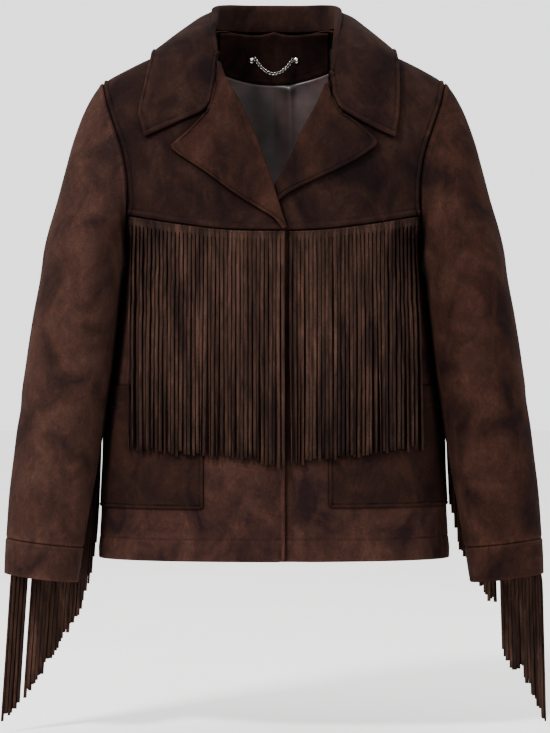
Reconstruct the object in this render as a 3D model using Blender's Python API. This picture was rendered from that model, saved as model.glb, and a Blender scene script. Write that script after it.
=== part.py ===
"""A fringed suede jacket, filled out as when worn, with nobody in it.

Blender 4.5. The front faces -Y, the wearer's left is +X, and the origin lies between the
shoulders. Sizes are in millimetres until a mesh is made, which is in metres. Every piece of
suede is a wall: a grid of outer points, and the same grid moved in by the thickness.
"""

import math
import random

import bmesh
import bpy
import numpy as np

MM = 0.001
SUEDE = 1.8  # thickness of the body's suede
LINING = 1.0  # thickness of the lining
CUFF = 2.4  # thickness of a sleeve's turned hem
COLLAR = 2.0  # thickness of the collar
POCKET_SUEDE = 1.2  # thickness of a pocket
SEAM = 0.3  # gap between neighbouring pieces
SLEEVE_SEAM = 0.8  # gap along a sleeve's two seams, which curve over the cap
SIDES = {-1: "right", 1: "left"}  # the wearer's
NAPS = {  # base colour and roughness
    "suede": ((0.030, 0.016, 0.011, 1), 0.92),
    "suede_dark": ((0.022, 0.011, 0.008, 1), 0.94),
    "suede_red": ((0.036, 0.017, 0.012, 1), 0.9),
    "satin": ((0.075, 0.058, 0.052, 1), 0.45),
    "steel": ((0.62, 0.61, 0.60, 1), 0.25),
}


def table(names, *rows):
    """Named columns of a short table, each as an array down its rows."""
    return dict(zip(names.split(), np.array(rows, float).T))


# Level sections of the body are superellipses: half width, and depth to the front and the back.
ARMPIT = -240.0
HEM = -617.0
BODY = table(
    "z half front back",
    (-620, 210.5, 103, 98),
    (-560, 207, 103, 96),
    (-500, 204.6, 103, 94),
    (-457, 202.8, 103, 91),
    (-412, 196.8, 103, 88),
    (-350, 189.2, 105, 88),
    (-318, 186.1, 106, 90),
    (-286, 182.4, 107, 92),
    (-264, 178.7, 108, 93.5),
    (-250, 177.8, 108, 94.5),
    (ARMPIT, 178, 108, 95),
)
# Above the armpits the sections close over the shoulders: rise runs from 0 at the armpit to 1 on top.
CHEST = table(
    "rise half front back",
    (0, 178, 108, 95),
    (0.04, 184, 108, 96),
    (0.08, 189.5, 108, 97),
    (0.2, 204, 108, 101),
    (0.4, 216, 108, 105),
    (0.6, 222, 108, 105),
    (0.8, 228, 108, 104),
    (0.92, 232, 108, 103),
    (1, 236, 108, 103),
)
# Where the armhole seam runs, as a distance from the centre, in front and behind.
ARMHOLE = table(
    "rise front back",
    (0, 178, 178),
    (0.05, 175.5, 177),
    (0.1, 174.5, 176.5),
    (0.17, 172.5, 176),
    (0.33, 173, 178),
    (0.51, 179, 184),
    (0.675, 189, 190),
    (0.85, 199, 199),
    (1, 205, 205),
)
SQUARE = 2.3  # exponent of the level sections, 2 being an ellipse
CROWN = 2.4  # exponent of the upright sections over the shoulders
LEAN = 5.0  # how far behind the side seams the shoulder seams lie
NECK = 72.0  # from the centre to where the shoulder seam meets the neck
BACK_NECK = 58.5  # turn of the surface at the back of the neck, in degrees, 90 being the shoulder seam

# Roll lines of the lapels and the free edges of the two fronts, on the wearer's right and left.
# The right front lies on top, 14 mm past the centre, so its column is mirrored with the side.
OVERLAP = 14.0
ROLL = {
    -1: table(
        "z x",
        (-230, -14), (-210, -7), (-182, 1), (-151, 11.5), (-109, 28), (-79, 42.5), (-54, 57), (-28, 65),
        (-6, 69), (14.35, NECK),
    ),
    1: table(
        "z x",
        (-232, -14), (-212, -13.5), (-194, -6.5), (-172, 6), (-143, 22), (-113, 35), (-92, 47), (-66, 58.5),
        (-50, 65), (-28, 69.5), (-6, 71), (14.35, NECK),
    ),
}
# How far the fronts move out (the upper one) or in (the lower one) where they overlap.
LAYER = {-1: 1.4, 1: -3.7}
LAYER_FROM, LAYER_TO = 18.0, 48.0

YOKE = table("x z", (0, -231.5), (20, -231.5), (50, -230.5), (110, -223), (170, -211.5), (210, -203))
YOKE_RIDGE = 1.5  # the yoke's lower edge stands this far out, over the strip that is sewn in there

ROLL_TIGHT, ROLL_FULL = 1.35, 2.8  # radius of the lapel's roll at the break and up at the neck
ROLL_OPENS = {-1: -222.0, 1: -182.0}  # height from which it opens, the covered one higher up
LAPEL_GAP = 1.6  # between a lapel and the yoke that it lies on
FOOT_LIFT = 0.8  # the collar's foot over the neck line

POCKET = {-1: (82.0, -412.0, -556.0), 1: (63.5, -412.0, -554.0)}  # inner edge, top and bottom
POCKET_SIDE = 88.0  # how far round the body a pocket reaches, in degrees
POCKET_LIFT = 0.6  # between a pocket and its front

STRIP, STRIP_HIGH, STRIP_LIFT = 1.4, 10.0, 0.9  # a fringe's strip: thickness, height, distance from the panel
STRAND, SLEEVE_STRAND, STRAND_THICK = 4.1, 4.2, 1.1  # widths of a strand on chest and sleeve, and thickness

FACING_GAP, LINING_GAP = 2.7, 1.9  # between the back and the facing, and the lining lower down
FACING_LOW, FACING_CURVE, FACING_WIDE = -42.0, 14.0, 68.3
LINING_LOW, LINING_WIDE = -330.0, 96.0

RIVET_OUT, RIVET_HIGH, RIVET = 28.5, -11.5, 3.4  # chain ends: from the centre, height, and head radius
CHAIN_SAG, CHAIN_THICK = 19.5, 2.6
CHAIN_OFF = 3.4  # the chain in front of its rivets' feet


def smooth(columns, key, name, at):
    """A column of a table read between its rows, on a cubic through them."""
    xs, ys = columns[key], columns[name]
    slope = np.gradient(ys, xs)
    at = np.clip(at, xs[0], xs[-1])
    row = np.clip(np.searchsorted(xs, at) - 1, 0, len(xs) - 2)
    step = xs[row + 1] - xs[row]
    t = (at - xs[row]) / step
    start = (2 * t**3 - 3 * t**2 + 1) * ys[row] + (t**3 - 2 * t**2 + t) * step * slope[row]
    end = (3 * t**2 - 2 * t**3) * ys[row + 1] + (t**3 - t**2) * step * slope[row + 1]
    return start + end


def ease(t):
    t = np.clip(t, 0, 1)
    return t * t * (3 - 2 * t)


def unit(v):
    return v / np.maximum(np.linalg.norm(v, axis=-1, keepdims=True), 1e-9)


def shoulder_height(x):
    """Height of the shoulder line: a slope to the shoulder's tip, and a rise at the neck."""
    out = np.abs(x) - 144
    slope = np.where(out > 0, -0.42 * out - 0.0016 * out**2, -0.40 * out)
    return -18 + slope + 15 * np.exp(-((x / 60) ** 2))


def shut(ratio, power):
    """The other half-axis of a unit superellipse."""
    return np.maximum(1 - np.minimum(np.abs(ratio), 1) ** power, 0) ** (1 / power)


def over(x, turn):
    """The body above the armpits, where turn is 0 in front at the armpit, 90 on the shoulder, 180 behind."""
    angle = np.radians(turn)
    rise = np.maximum(np.sin(angle), 0) ** (2 / CROWN)
    front = np.cos(angle) >= 0
    depth = np.where(front, smooth(CHEST, "rise", "front", rise), smooth(CHEST, "rise", "back", rise))
    level = np.abs(np.cos(angle)) ** (2 / CROWN) * shut(x / smooth(CHEST, "rise", "half", rise), SQUARE)
    y = LEAN * rise - np.where(front, 1, -1) * depth * level
    return np.stack(np.broadcast_arrays(x, y, ARMPIT + rise * (shoulder_height(x) - ARMPIT)), -1)


def turn_at(x, z, behind=False):
    """The turn at which the body above the armpits reaches a height."""
    rise = np.clip((z - ARMPIT) / (shoulder_height(x) - ARMPIT), 0, 1)
    turn = np.degrees(np.arcsin(rise ** (CROWN / 2)))
    return 180 - turn if behind else turn


def around(side, angle, z):
    """The body at a level, where angle is 0 at the centre front, 90 at the side seam and 180 behind."""
    turn = np.radians(angle)
    across = np.sign(np.sin(turn)) * np.abs(np.sin(turn)) ** (2 / SQUARE)
    front = np.cos(turn) >= 0
    low = smooth(BODY, "z", "half", z)
    rise = np.clip((z - ARMPIT) / (shoulder_height(low * across) - ARMPIT), 0, 1)
    half = np.where(z > ARMPIT, smooth(CHEST, "rise", "half", rise), low)
    deep = np.where(
        z > ARMPIT,
        np.where(front, smooth(CHEST, "rise", "front", rise), smooth(CHEST, "rise", "back", rise)),
        np.where(front, smooth(BODY, "z", "front", z), smooth(BODY, "z", "back", z)),
    )
    level = np.abs(np.cos(turn)) ** (2 / SQUARE) * shut(rise, CROWN)
    y = LEAN * rise - np.where(front, 1, -1) * deep * level
    return np.stack(np.broadcast_arrays(side * half * across, y, z), -1)


def angle_at(x, z):
    """The angle round the body at which a level section reaches a distance from the centre."""
    half = smooth(BODY, "z", "half", z)
    return np.sign(x) * np.degrees(np.arcsin(np.minimum(np.abs(x) / half, 1) ** (SQUARE / 2)))


def facing_out(surface, a, b, step_a, step_b, away):
    """Normals of a surface by differences, turned to the same side as away."""
    across = surface(a + step_a, b) - surface(a - step_a, b)
    along = surface(a, b + step_b) - surface(a, b - step_b)
    normal = unit(np.cross(across, along))
    return normal * np.where((normal * away).sum(-1, keepdims=True) < 0, -1, 1)


def laid(x, z, lift=0.0, behind=False):
    """A point on the body over (x, z), moved out by lift, with its normal."""
    x, z = np.broadcast_arrays(np.asarray(x, float), np.asarray(z, float))

    def height_field(x, z):
        upper = over(x, np.maximum(turn_at(x, z, behind), 0) if not behind else turn_at(x, z, True))
        angle = angle_at(np.abs(x), z)
        lower = around(np.sign(x + 1e-9), 180 - angle if behind else angle, z)
        return np.where((z > ARMPIT)[..., None], upper, lower)

    point = height_field(x, z)
    away = np.stack([x / 200, np.full_like(x, 0.5 if behind else -0.5), np.zeros_like(x)], -1)
    normal = facing_out(height_field, x, z, 1.0, 1.0, away)
    return point + normal * np.asarray(lift, float)[..., None], normal


def layer_lift(side, x):
    """How far a front stands off the body at a distance x from the centre, on its own side."""
    return LAYER[side] * (1 - ease((x - LAYER_FROM) / (LAYER_TO - LAYER_FROM)))


def trimmed(grid, low=SEAM / 2, high=SEAM / 2, left=SEAM / 2, right=SEAM / 2):
    """The grid with its border rows and columns drawn in, half a seam gap at each side."""
    grid = grid.copy()
    for edge, inner, gap in ((0, 1, low), (-1, -2, high)):
        if gap:
            grid[edge] += unit(grid[inner] - grid[edge]) * gap
    for edge, inner, gap in ((0, 1, left), (-1, -2, right)):
        if gap:
            grid[:, edge] += unit(grid[:, inner] - grid[:, edge]) * gap
    return grid


def grid_normals(grid, away, ring=False):
    """Normals of a grid of points, turned to the same side as away."""
    across = np.gradient(np.concatenate([grid[:, -2:-1], grid, grid[:, 1:2]], 1), axis=1)[:, 1:-1] if ring \
        else np.gradient(grid, axis=1)
    normal = unit(np.cross(across, np.gradient(grid, axis=0)))
    return normal * np.where((normal * away).sum(-1, keepdims=True) < 0, -1, 1)


def material(name, colour, roughness):
    made = bpy.data.materials.new(name)
    made.use_nodes = True
    shader = made.node_tree.nodes["Principled BSDF"]
    shader.inputs["Base Color"].default_value = colour
    shader.inputs["Roughness"].default_value = roughness
    shader.inputs["Metallic"].default_value = 1.0 if name.startswith("steel") else 0.0
    return made


def solid(name, points, faces, nap):
    """A mesh object in metres, with its faces turned out."""
    mesh = bpy.data.meshes.new(name)
    mesh.from_pydata([tuple(float(v) * MM for v in p) for p in points], [], faces)
    work = bmesh.new()
    work.from_mesh(mesh)
    bmesh.ops.recalc_face_normals(work, faces=work.faces)
    if work.calc_volume(signed=True) < 0:
        bmesh.ops.reverse_faces(work, faces=work.faces)
    work.to_mesh(mesh)
    work.free()
    mesh.shade_smooth()
    mesh.set_sharp_from_angle(angle=math.radians(40))
    mesh.materials.append(material(f"{nap}_{name}", *NAPS[nap]))
    made = bpy.data.objects.new(name, mesh)
    bpy.context.scene.collection.objects.link(made)
    return made


def wall(name, outer, normals, nap, thick=SUEDE, ring=False):
    """A closed wall between outer points and the same grid moved in; ring joins its last column to its first."""
    rows, columns = outer.shape[:2]
    inner = outer - normals * thick
    points = np.concatenate([outer.reshape(-1, 3), inner.reshape(-1, 3)])
    skip = rows * columns
    faces = []
    spans = columns if ring else columns - 1
    for r in range(rows - 1):
        for c in range(spans):
            near, far = r * columns + c, r * columns + (c + 1) % columns
            quad = (near, far, far + columns, near + columns)
            faces.append(quad)
            faces.append(tuple(skip + i for i in reversed(quad)))
    border = [(c, (c + 1) % columns) for c in range(spans)]
    top = (rows - 1) * columns
    border += [(top + (c + 1) % columns, top + c) for c in range(spans)]
    if not ring:
        border += [((r + 1) * columns, r * columns) for r in range(rows - 1)]
        border += [(r * columns + columns - 1, (r + 1) * columns + columns - 1) for r in range(rows - 1)]
    faces += [(b, a, a + skip, b + skip) for a, b in border]
    return solid(name, points, faces, nap)


def ridge(x, z):
    """The yoke's lower edge stands out a little over the strip sewn in under it."""
    return YOKE_RIDGE * (1 - ease((z - smooth(YOKE, "x", "z", np.abs(x))) / 16))


def inner_edge(side, z):
    """How far a front's inner edge lies from the centre: the roll line, less the room that the roll takes."""
    return smooth(ROLL[side], "z", "x", z) + roll_radius(side, z)


def roll_radius(side, z):
    return ROLL_TIGHT + (ROLL_FULL - ROLL_TIGHT) * ease((z - ROLL_OPENS[side]) / 60)


def yoke(side):
    rows, columns = 12, 9
    v = np.linspace(0, 1, rows)[:, None]
    u = np.linspace(0, 1, columns)[None, :]
    inner = np.full_like(v, 40.0)
    for _ in range(30):
        seam = turn_at(inner, smooth(YOKE, "x", "z", np.abs(inner)))
        inner = 0.5 * (inner + inner_edge(side, over(inner, seam + (90 - seam) * v)[..., 2]))
    outer = np.full_like(v, 190.0)
    for _ in range(30):
        seam = turn_at(outer, smooth(YOKE, "x", "z", outer))
        rise = np.sin(np.radians(seam + (90 - seam) * v)) ** (2 / CROWN)
        outer = 0.5 * (outer + smooth(ARMHOLE, "rise", "front", rise))
    x = inner + (outer - inner) * u
    seam = turn_at(x, smooth(YOKE, "x", "z", np.abs(x)))
    turn = seam + (90 - seam) * v
    grid = over(x, turn)
    normals = facing_out(over, x, turn, 0.5, 0.5, grid * (0.1, 0.3, 0) + (0, -10, 10))
    lift = layer_lift(side, x) + ridge(x, grid[..., 2])
    grid = (grid + normals * lift[..., None]) * (side, 1, 1)
    wall(f"yoke_{SIDES[side]}", trimmed(grid), normals * (side, 1, 1), "suede")


def front(side):
    """The front below the yoke, to the side seam, and up its armhole there."""
    rows, columns = 12, 12
    v = np.linspace(0, 1, rows)[:, None]
    u = np.linspace(0, 1, columns)[None, :]
    rise = np.linspace(0.12, 0, 9)
    reach = smooth(ARMHOLE, "rise", "front", rise)
    seam_angle = np.degrees(np.arcsin((reach / smooth(CHEST, "rise", "half", rise)) ** (SQUARE / 2)))
    armhole_z = ARMPIT + rise * (shoulder_height(reach) - ARMPIT)
    edge = OVERLAP - 1.0

    def top(angle):
        across = np.abs(np.sin(np.radians(angle))) ** (2 / SQUARE) * 190
        return np.minimum(smooth(YOKE, "x", "z", across), np.interp(angle, seam_angle, armhole_z))

    def level(angle):
        return HEM + (top(angle) - HEM) * v

    angle = np.zeros((rows, columns))
    for _ in range(6):
        z = level(angle)
        start = -angle_at(edge, z)
        angle = start + (90 - start) * u
    z = level(angle)
    grid = around(1, angle, z)
    normals = facing_out(lambda a, b: around(1, a, b), angle, z, 0.5, 0.5, grid * (1, 1, 0) + (0, -20, 0))
    grid = (grid + normals * layer_lift(side, grid[..., 0])[..., None]) * (side, 1, 1)
    wall(f"front_{SIDES[side]}", trimmed(grid), normals * (side, 1, 1), "suede")


def back_grid(rows, columns):
    """The back as a grid from side seam to side seam, from the hem to the shoulders and the neck."""
    u = np.linspace(-1, 1, columns)[None, :]
    below = rows * 2 // 5
    v = np.linspace(0, 1, below)[:, None]
    lower_z = HEM + (ARMPIT - HEM) * v
    lower = around(1, 180 - 90 * u, lower_z)
    lower_out = facing_out(lambda a, b: around(1, a, b), 180 - 90 * u, lower_z, 0.5, 0.5, lower * (1, 1, 0))
    v = np.linspace(0, 1, rows - below + 1)[1:, None] ** 0.9
    spread = np.sign(u) * np.abs(np.sin(np.radians(90 * u))) ** (2 / SQUARE)
    x = spread * 180.0
    for _ in range(20):
        top = BACK_NECK + (90 - BACK_NECK) * np.minimum(np.abs(x) / NECK, 1) ** 2.2
        rise = np.sin(np.radians(top * v)) ** (2 / CROWN)
        mix = spread + (u - spread) * ease(v * 2)
        x = 0.5 * (x + mix * smooth(ARMHOLE, "rise", "back", rise))
    turn = 180 - top * v
    upper = over(x, turn)
    upper_out = facing_out(over, x, turn, 0.5, 0.5, upper * (1, 1, 0) + (0, 20, 20))
    return np.concatenate([lower, upper]), np.concatenate([lower_out, upper_out])


def back():
    grid, normals = back_grid(20, 19)
    wall("back", trimmed(grid), normals, "suede")


# Sleeve: level sections below the armpit, by the height of their middle, in the wearer's side's own frame.
SLEEVE = table(
    "z x y wide deep",
    (-640, 275, -51, 43.5, 39),
    (-606, 272, -48, 45.5, 41),
    (-560, 266.5, -45, 48, 44),
    (-506, 258.8, -41, 50, 48),
    (-457, 252.2, -38, 50.9, 52),
    (-413, 246.4, -37, 51.5, 56),
    (-350, 237.8, -35, 51, 60),
    (-286, 229.3, -34, 48.5, 62),
    (-262, 227.8, -29, 48.2, 63),
)
SLEEVE_TOP, CUFF_SEAM, CUFF_EDGE = -262.0, -597.0, -638.0
CAP_FROM = -150.0  # height that stands for the cap's upper edge on the hindarm seam
ARM_TILT = 7.1  # degrees that the sleeve leans out
SLEEVE_GIRTH = 300.0  # round the sleeve, for the strip's height
FOREARM_SEAM = 0.02  # where the seams run round the sleeve: 0 inside, 0.25 front, 0.5 outside, 0.75 back
HINDARM_SEAM = table(
    "z at",
    (-640, 0.535), (-622, 0.62), (-600, 0.69), (-566, 0.748), (-529, 0.799), (-499, 0.842), (-472, 0.865),
    (-442, 0.881), (-382, 0.885), (-262, 0.87), (-150, 0.80),
)


def armhole(at):
    """The armhole seam, from the armpit up the front, over the shoulder and down the back, with its normals."""
    rise = (1 - np.cos(2 * math.pi * at)) / 2
    ahead = np.mod(at, 1) <= 0.5
    x = np.where(ahead, smooth(ARMHOLE, "rise", "front", rise), smooth(ARMHOLE, "rise", "back", rise))
    turn = np.degrees(np.arcsin(rise ** (CROWN / 2)))
    turn = np.where(ahead, turn, 180 - turn)
    point = over(x, turn)
    inward = np.minimum(x, smooth(CHEST, "rise", "half", rise) - 1.5)
    normal = facing_out(over, inward, turn, 0.5, 0.5, point * (1, 1, 0) + (0, 0, 10))
    under = np.exp(-rise / 0.02)[..., None]
    return point, unit(normal * (1 - under) + np.array([1.0, 0, 0]) * under)


def armhole_rim(at):
    """The sleeve's first ring, just clear of the body's rim."""
    point, normal = armhole(at)
    along = armhole(at + 0.004)[0] - armhole(at - 0.004)[0]
    inside = unit(np.cross(normal, along))
    middle = np.array([190.0, 0, -140])
    inside = inside * np.where((inside * (middle - point)).sum(-1, keepdims=True) < 0, -1, 1)
    return point + inside * 0.7 + normal * 0.5


def sleeve(at, down):
    """The sleeve's outer surface: down runs 0 to 1 through the cap, then 1 to 2 to the cuff's edge."""
    at, down = np.broadcast_arrays(at, down)
    turn = 2 * math.pi * at
    level = SLEEVE_TOP + (np.maximum(down, 1) - 1) * (CUFF_EDGE - SLEEVE_TOP)
    read = {name: smooth(SLEEVE, "z", name, level) for name in ("x", "y", "wide", "deep")}
    tilt = math.radians(ARM_TILT)
    out = -np.cos(turn) * read["wide"]
    ahead = read["y"] - np.sin(turn) * read["deep"]
    tube = np.stack([read["x"] + out * math.cos(tilt), ahead, level + out * math.sin(tilt)], -1)
    rim = armhole_rim(at)
    high = (1 - np.cos(turn)) / 2
    leave = unit(np.stack([
        1 - 0.95 * (1 - high) ** 3,
        -0.15 * np.sin(turn),
        -(0.5 + 0.45 * (2 * high - 1) ** 2),
    ], -1))
    arrive = unit(np.stack(np.broadcast_arrays(0.13, -0.1, -0.985 + 0 * turn), -1))
    reach = np.linalg.norm(tube - rim, axis=-1, keepdims=True)
    t = np.minimum(down, 1)[..., None]
    cap = (
        (2 * t**3 - 3 * t**2 + 1) * rim
        + (t**3 - 2 * t**2 + t) * leave * reach * 0.5
        + (3 * t**2 - 2 * t**3) * tube
        + (t**3 - t**2) * arrive * reach
    )
    return np.where((down < 1)[..., None], cap, tube)


def sleeve_out(at, down):
    """Normals of the sleeve's surface, out of the sleeve."""
    across = sleeve(at + 0.004, down) - sleeve(at - 0.004, down)
    along = sleeve(at, down + 0.01) - sleeve(at, np.maximum(down - 0.01, 0))
    return unit(np.cross(along, across))


def down_at(z):
    return 1 + (z - SLEEVE_TOP) / (CUFF_EDGE - SLEEVE_TOP)


def seam_at(down):
    """Where the hindarm seam runs at a place down the sleeve."""
    cap = CAP_FROM + (SLEEVE_TOP - CAP_FROM) * down
    z = np.where(down < 1, cap, SLEEVE_TOP + (down - 1) * (CUFF_EDGE - SLEEVE_TOP))
    return smooth(HINDARM_SEAM, "z", "at", z)


def sleeve_parts(side):
    cap = np.array([0, 0.1, 0.24, 0.4, 0.58, 0.78, 1])
    tube = down_at(np.linspace(SLEEVE_TOP, CUFF_SEAM, 9)[1:])
    down = np.concatenate([cap, tube])[:, None]
    seam = seam_at(down)
    flip = np.array([side, 1, 1])
    for name, first, last, columns in (
        ("top_sleeve", np.full_like(seam, FOREARM_SEAM), seam, 16),
        ("under_sleeve", seam, np.full_like(seam, 1 + FOREARM_SEAM), 8),
    ):
        at = first + (last - first) * np.linspace(0, 1, columns)[None, :]
        grid, normals = sleeve(at, down), sleeve_out(at, down)
        cut = trimmed(grid, low=0, left=SLEEVE_SEAM / 2, right=SLEEVE_SEAM / 2)
        wall(f"{name}_{SIDES[side]}", cut * flip, normals * flip, "suede_red")
    at = np.arange(24)[None, :] / 24
    down = down_at(np.linspace(CUFF_SEAM - SEAM / 2, CUFF_EDGE, 3))[:, None]
    grid, normals = sleeve(at, down), sleeve_out(at, down)
    wall(f"cuff_{SIDES[side]}", (grid + normals * 0.3) * flip, normals * flip, "suede_red", CUFF, ring=True)


def pocket(side):
    inner, top, bottom = POCKET[side]
    u = np.linspace(0, 1, 12)[None, :]
    v = np.linspace(0, 1, 7)[:, None]
    z = bottom + (top - bottom) * v + 0 * u
    first = angle_at(inner, z)
    angle = first + (POCKET_SIDE - first) * u
    grid = around(1, angle, z)
    normals = facing_out(lambda a, b: around(1, a, b), angle, z, 0.5, 0.5, grid * (1, 1, 0) + (0, -20, 0))
    grid = grid + normals * (POCKET_SUEDE + POCKET_LIFT)
    wall(f"pocket_{SIDES[side]}", grid * (side, 1, 1), normals * (side, 1, 1), "suede_dark", POCKET_SUEDE)


LAPEL = {  # from the break up: heights on the roll line, and the free edge that faces each
    -1: table(
        "z edge_x edge_z",
        (-229, -10, -229.5), (-221, 0, -217), (-210, 17.4, -206), (-195, 48.7, -186), (-182, 80, -162.5),
        (-167, 106, -145), (-151, 116, -137.5), (-136, 119, -132.5), (-124, 115.5, -128.5), (-97, 100.8, -116),
        (-75, 84, -99.5), (-58, 76.5, -92), (-46, 71.5, -83), (-34, 66, -61),
    ),
    1: table(
        "z edge_x edge_z",
        (-210, -9, -209.5), (-202, 1, -200.5), (-190, 13, -190), (-177, 27, -182), (-163, 58, -167.5),
        (-150, 90.7, -151), (-139, 112, -137), (-128, 118.5, -131), (-118, 119, -125.5), (-108, 114, -120.5),
        (-92, 95.6, -105), (-78, 81, -96), (-69, 74, -90), (-60, 66.8, -79),
    ),
}


def lapel(side):
    """The front's facing, rolled back over the yoke: round the roll line, then out to its free edge."""
    columns = LAPEL[side]
    z = columns["z"][:, None]
    radius = roll_radius(side, z)
    root = inner_edge(side, z) - 0.85
    base, normal = laid(root, z)
    above = laid(inner_edge(side, z + 1), z + 1)[0] - laid(inner_edge(side, z - 1), z - 1)[0]
    beyond = unit(np.cross(above, normal))
    beyond = beyond * np.where(beyond[..., :1] > 0, -1, 1)
    base = base + normal * (layer_lift(side, root) + ridge(root, z))[..., None]
    bend = np.radians(np.array([0, 45, 90, 135]))[None, :, None]
    centre = base + normal * (radius[..., None] - SUEDE / 2)
    rolled = centre + radius[..., None] * (np.sin(bend) * beyond - np.cos(bend) * normal)
    t = np.array([0.0, 0.12, 0.3, 0.5, 0.75, 1.0])[None, :]
    x = root + (columns["edge_x"][:, None] - root) * t
    level = z + (columns["edge_z"][:, None] - z) * t
    rest = 2 * radius - SUEDE / 2
    gap = LAPEL_GAP + SUEDE / 2
    lift = rest + (gap - rest) * ease(t * 1.6) + layer_lift(side, x) + ridge(x, level)
    flat, _ = laid(x, level, lift)
    middle = np.concatenate([rolled, flat], 1)
    normals = grid_normals(middle, np.concatenate([np.repeat(beyond, 4, 1), np.repeat(normal, 6, 1)], 1))
    flip = np.array([side, 1, 1])
    wall(f"lapel_{SIDES[side]}", (middle + normals * SUEDE / 2) * flip, normals * flip, "suede")


# Stations of half the collar from the centre back: foot, fold and edge; roll is the fold's radius.
COLLAR_BACK = table(
    "foot_x foot_y foot_z fold_x fold_y fold_z edge_x edge_y edge_z roll",
    (0, 63, 19.5, 0, 61, 51, 0, 91, -28, 5),
    (28, 59, 18.5, 32, 57.5, 50.5, 47, 89, -28.5, 5),
    (51, 42, 17.7, 58, 43, 49, 96, 70, -26, 5),
    (66, 23, 16.9, 71, 23, 44.7, 140, 28, -15, 4.5),
    (71, 4, 15.8, 71.5, 2, 34, 146, -5, -13.5, 4),
    (72.5, -22, 11.5, 71, -25, 21, 148, -39, -27, 3.5),
)
# The fold stands further out from the centre on one side of the neck, most beside the shoulder seam.
COLLAR_OUT = {-1: (0, 0, 0, 0, 0, 0), 1: (0, 0, 3, 6, 7.5, 7)}
# In front it lies on the yokes: foot and fold by height on the neck line, the edge by its place.
COLLAR_FRONT = {
    -1: table(
        "foot_z fold_z fold_lift edge_x edge_z edge_lift roll",
        (-6, 4, 8, 151, -63, 4, 3),
        (-17, -8, 7, 157, -92, 3, 2.6),
    ),
    1: table(
        "foot_z fold_z fold_lift edge_x edge_z edge_lift roll",
        (-15, -4, 8, 146, -60, 4, 3),
        (-38, -28, 7, 145, -92, 3, 2.6),
    ),
}
COLLAR_END = {  # the gorge seam from the roll line to the notch, then the collar's lower edge to its tip
    -1: table("x z", (65.5, -27), (67, -52), (76.5, -86), (111, -104), (150, -121)),
    1: table("x z", (66.5, -51), (68, -74), (78, -90), (112, -109), (141, -122)),
}


def station(foot, fold, path, roll):
    """Middle line of the collar at one station: up the stand, round the fold and down the fall."""
    up = unit(fold - foot)
    out = path[0] - fold
    out = unit(out - up * (out * up).sum())
    centre = fold - up * roll
    bend = np.radians(np.array([180, 120, 60, 0]))[:, None]
    turned = centre + roll * (np.cos(bend) * out + np.sin(bend) * up)
    stand = [foot, foot + (turned[0] - foot) * 0.5]
    return np.concatenate([stand, turned, path])


def fall(start, edge, bulge):
    t = np.array([0.22, 0.42, 0.62, 0.82, 1.0])[:, None]
    return start + (edge - start) * t + bulge * 4 * t * (1 - t)


def collar_half(side):
    stations = []
    rows = COLLAR_BACK
    for i in range(len(rows["roll"])):
        foot, fold, edge = (np.array([rows[f"{p}_{a}"][i] for a in "xyz"]) for p in ("foot", "fold", "edge"))
        fold = fold + (COLLAR_OUT[side][i], 0, 0)
        level = edge - fold
        bulge = unit(np.array([level[0], level[1], 60.0])) * 2.5
        stations.append(station(foot, fold, fall(fold, edge, bulge), rows["roll"][i]))
    rows = COLLAR_FRONT[side]
    for i in range(len(rows["roll"])):
        neck = smooth(ROLL[side], "z", "x", rows["foot_z"][i]) + 1.5
        foot = laid(neck, rows["foot_z"][i], FOOT_LIFT)[0]
        x = smooth(ROLL[side], "z", "x", rows["fold_z"][i])
        fold = laid(x, rows["fold_z"][i], rows["fold_lift"][i])[0]
        t = np.array([0.22, 0.42, 0.62, 0.82, 1.0])
        across = x + (rows["edge_x"][i] - x) * t
        level = rows["fold_z"][i] + (rows["edge_z"][i] - rows["fold_z"][i]) * t
        lift = rows["fold_lift"][i] + (rows["edge_lift"][i] - rows["fold_lift"][i]) * t
        lift = lift + 2.5 * 4 * t * (1 - t) * (i < 1)
        stations.append(station(foot, fold, laid(across, level, lift)[0], rows["roll"][i]))
    end = COLLAR_END[side]
    foot = laid(end["x"][0], end["z"][0], FOOT_LIFT)[0]
    fold = laid(end["x"][0], end["z"][0], FOOT_LIFT + 4.5)[0]
    path = laid(end["x"], end["z"], np.array([3.4, 2.6, 2.2, 2.2, 2.2]))[0]
    path[0] = path[0] + (path[1] - path[0]) * 0.35
    last = station(foot, fold, path, 2.0)
    stations.append((stations[-1] + last) / 2)
    stations.append(last)
    return np.array(stations) * (side, 1, 1)


def collar():
    right, left = collar_half(-1), collar_half(1)
    middle = np.concatenate([right[::-1], left[1:]])
    middle = spread(middle, 2)
    normal = unit(np.cross(np.gradient(middle, axis=1), np.gradient(middle, axis=0)))
    if (normal[len(middle) // 2, -1] * (0, 1, 0)).sum() < 0:
        normal = -normal
    wall("collar", middle + normal * COLLAR / 2, normal, "suede", COLLAR)


def spread(grid, times):
    """The grid with more rows, on cubics through its own."""
    rows = np.arange(len(grid), dtype=float)
    at = np.linspace(0, len(grid) - 1, (len(grid) - 1) * times + 1)
    flat = grid.reshape(len(grid), -1)
    columns = {"row": rows, **{str(i): flat[:, i] for i in range(flat.shape[1])}}
    new = np.stack([smooth(columns, "row", str(i), at) for i in range(flat.shape[1])], -1)
    return new.reshape(len(at), *grid.shape[1:])


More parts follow.
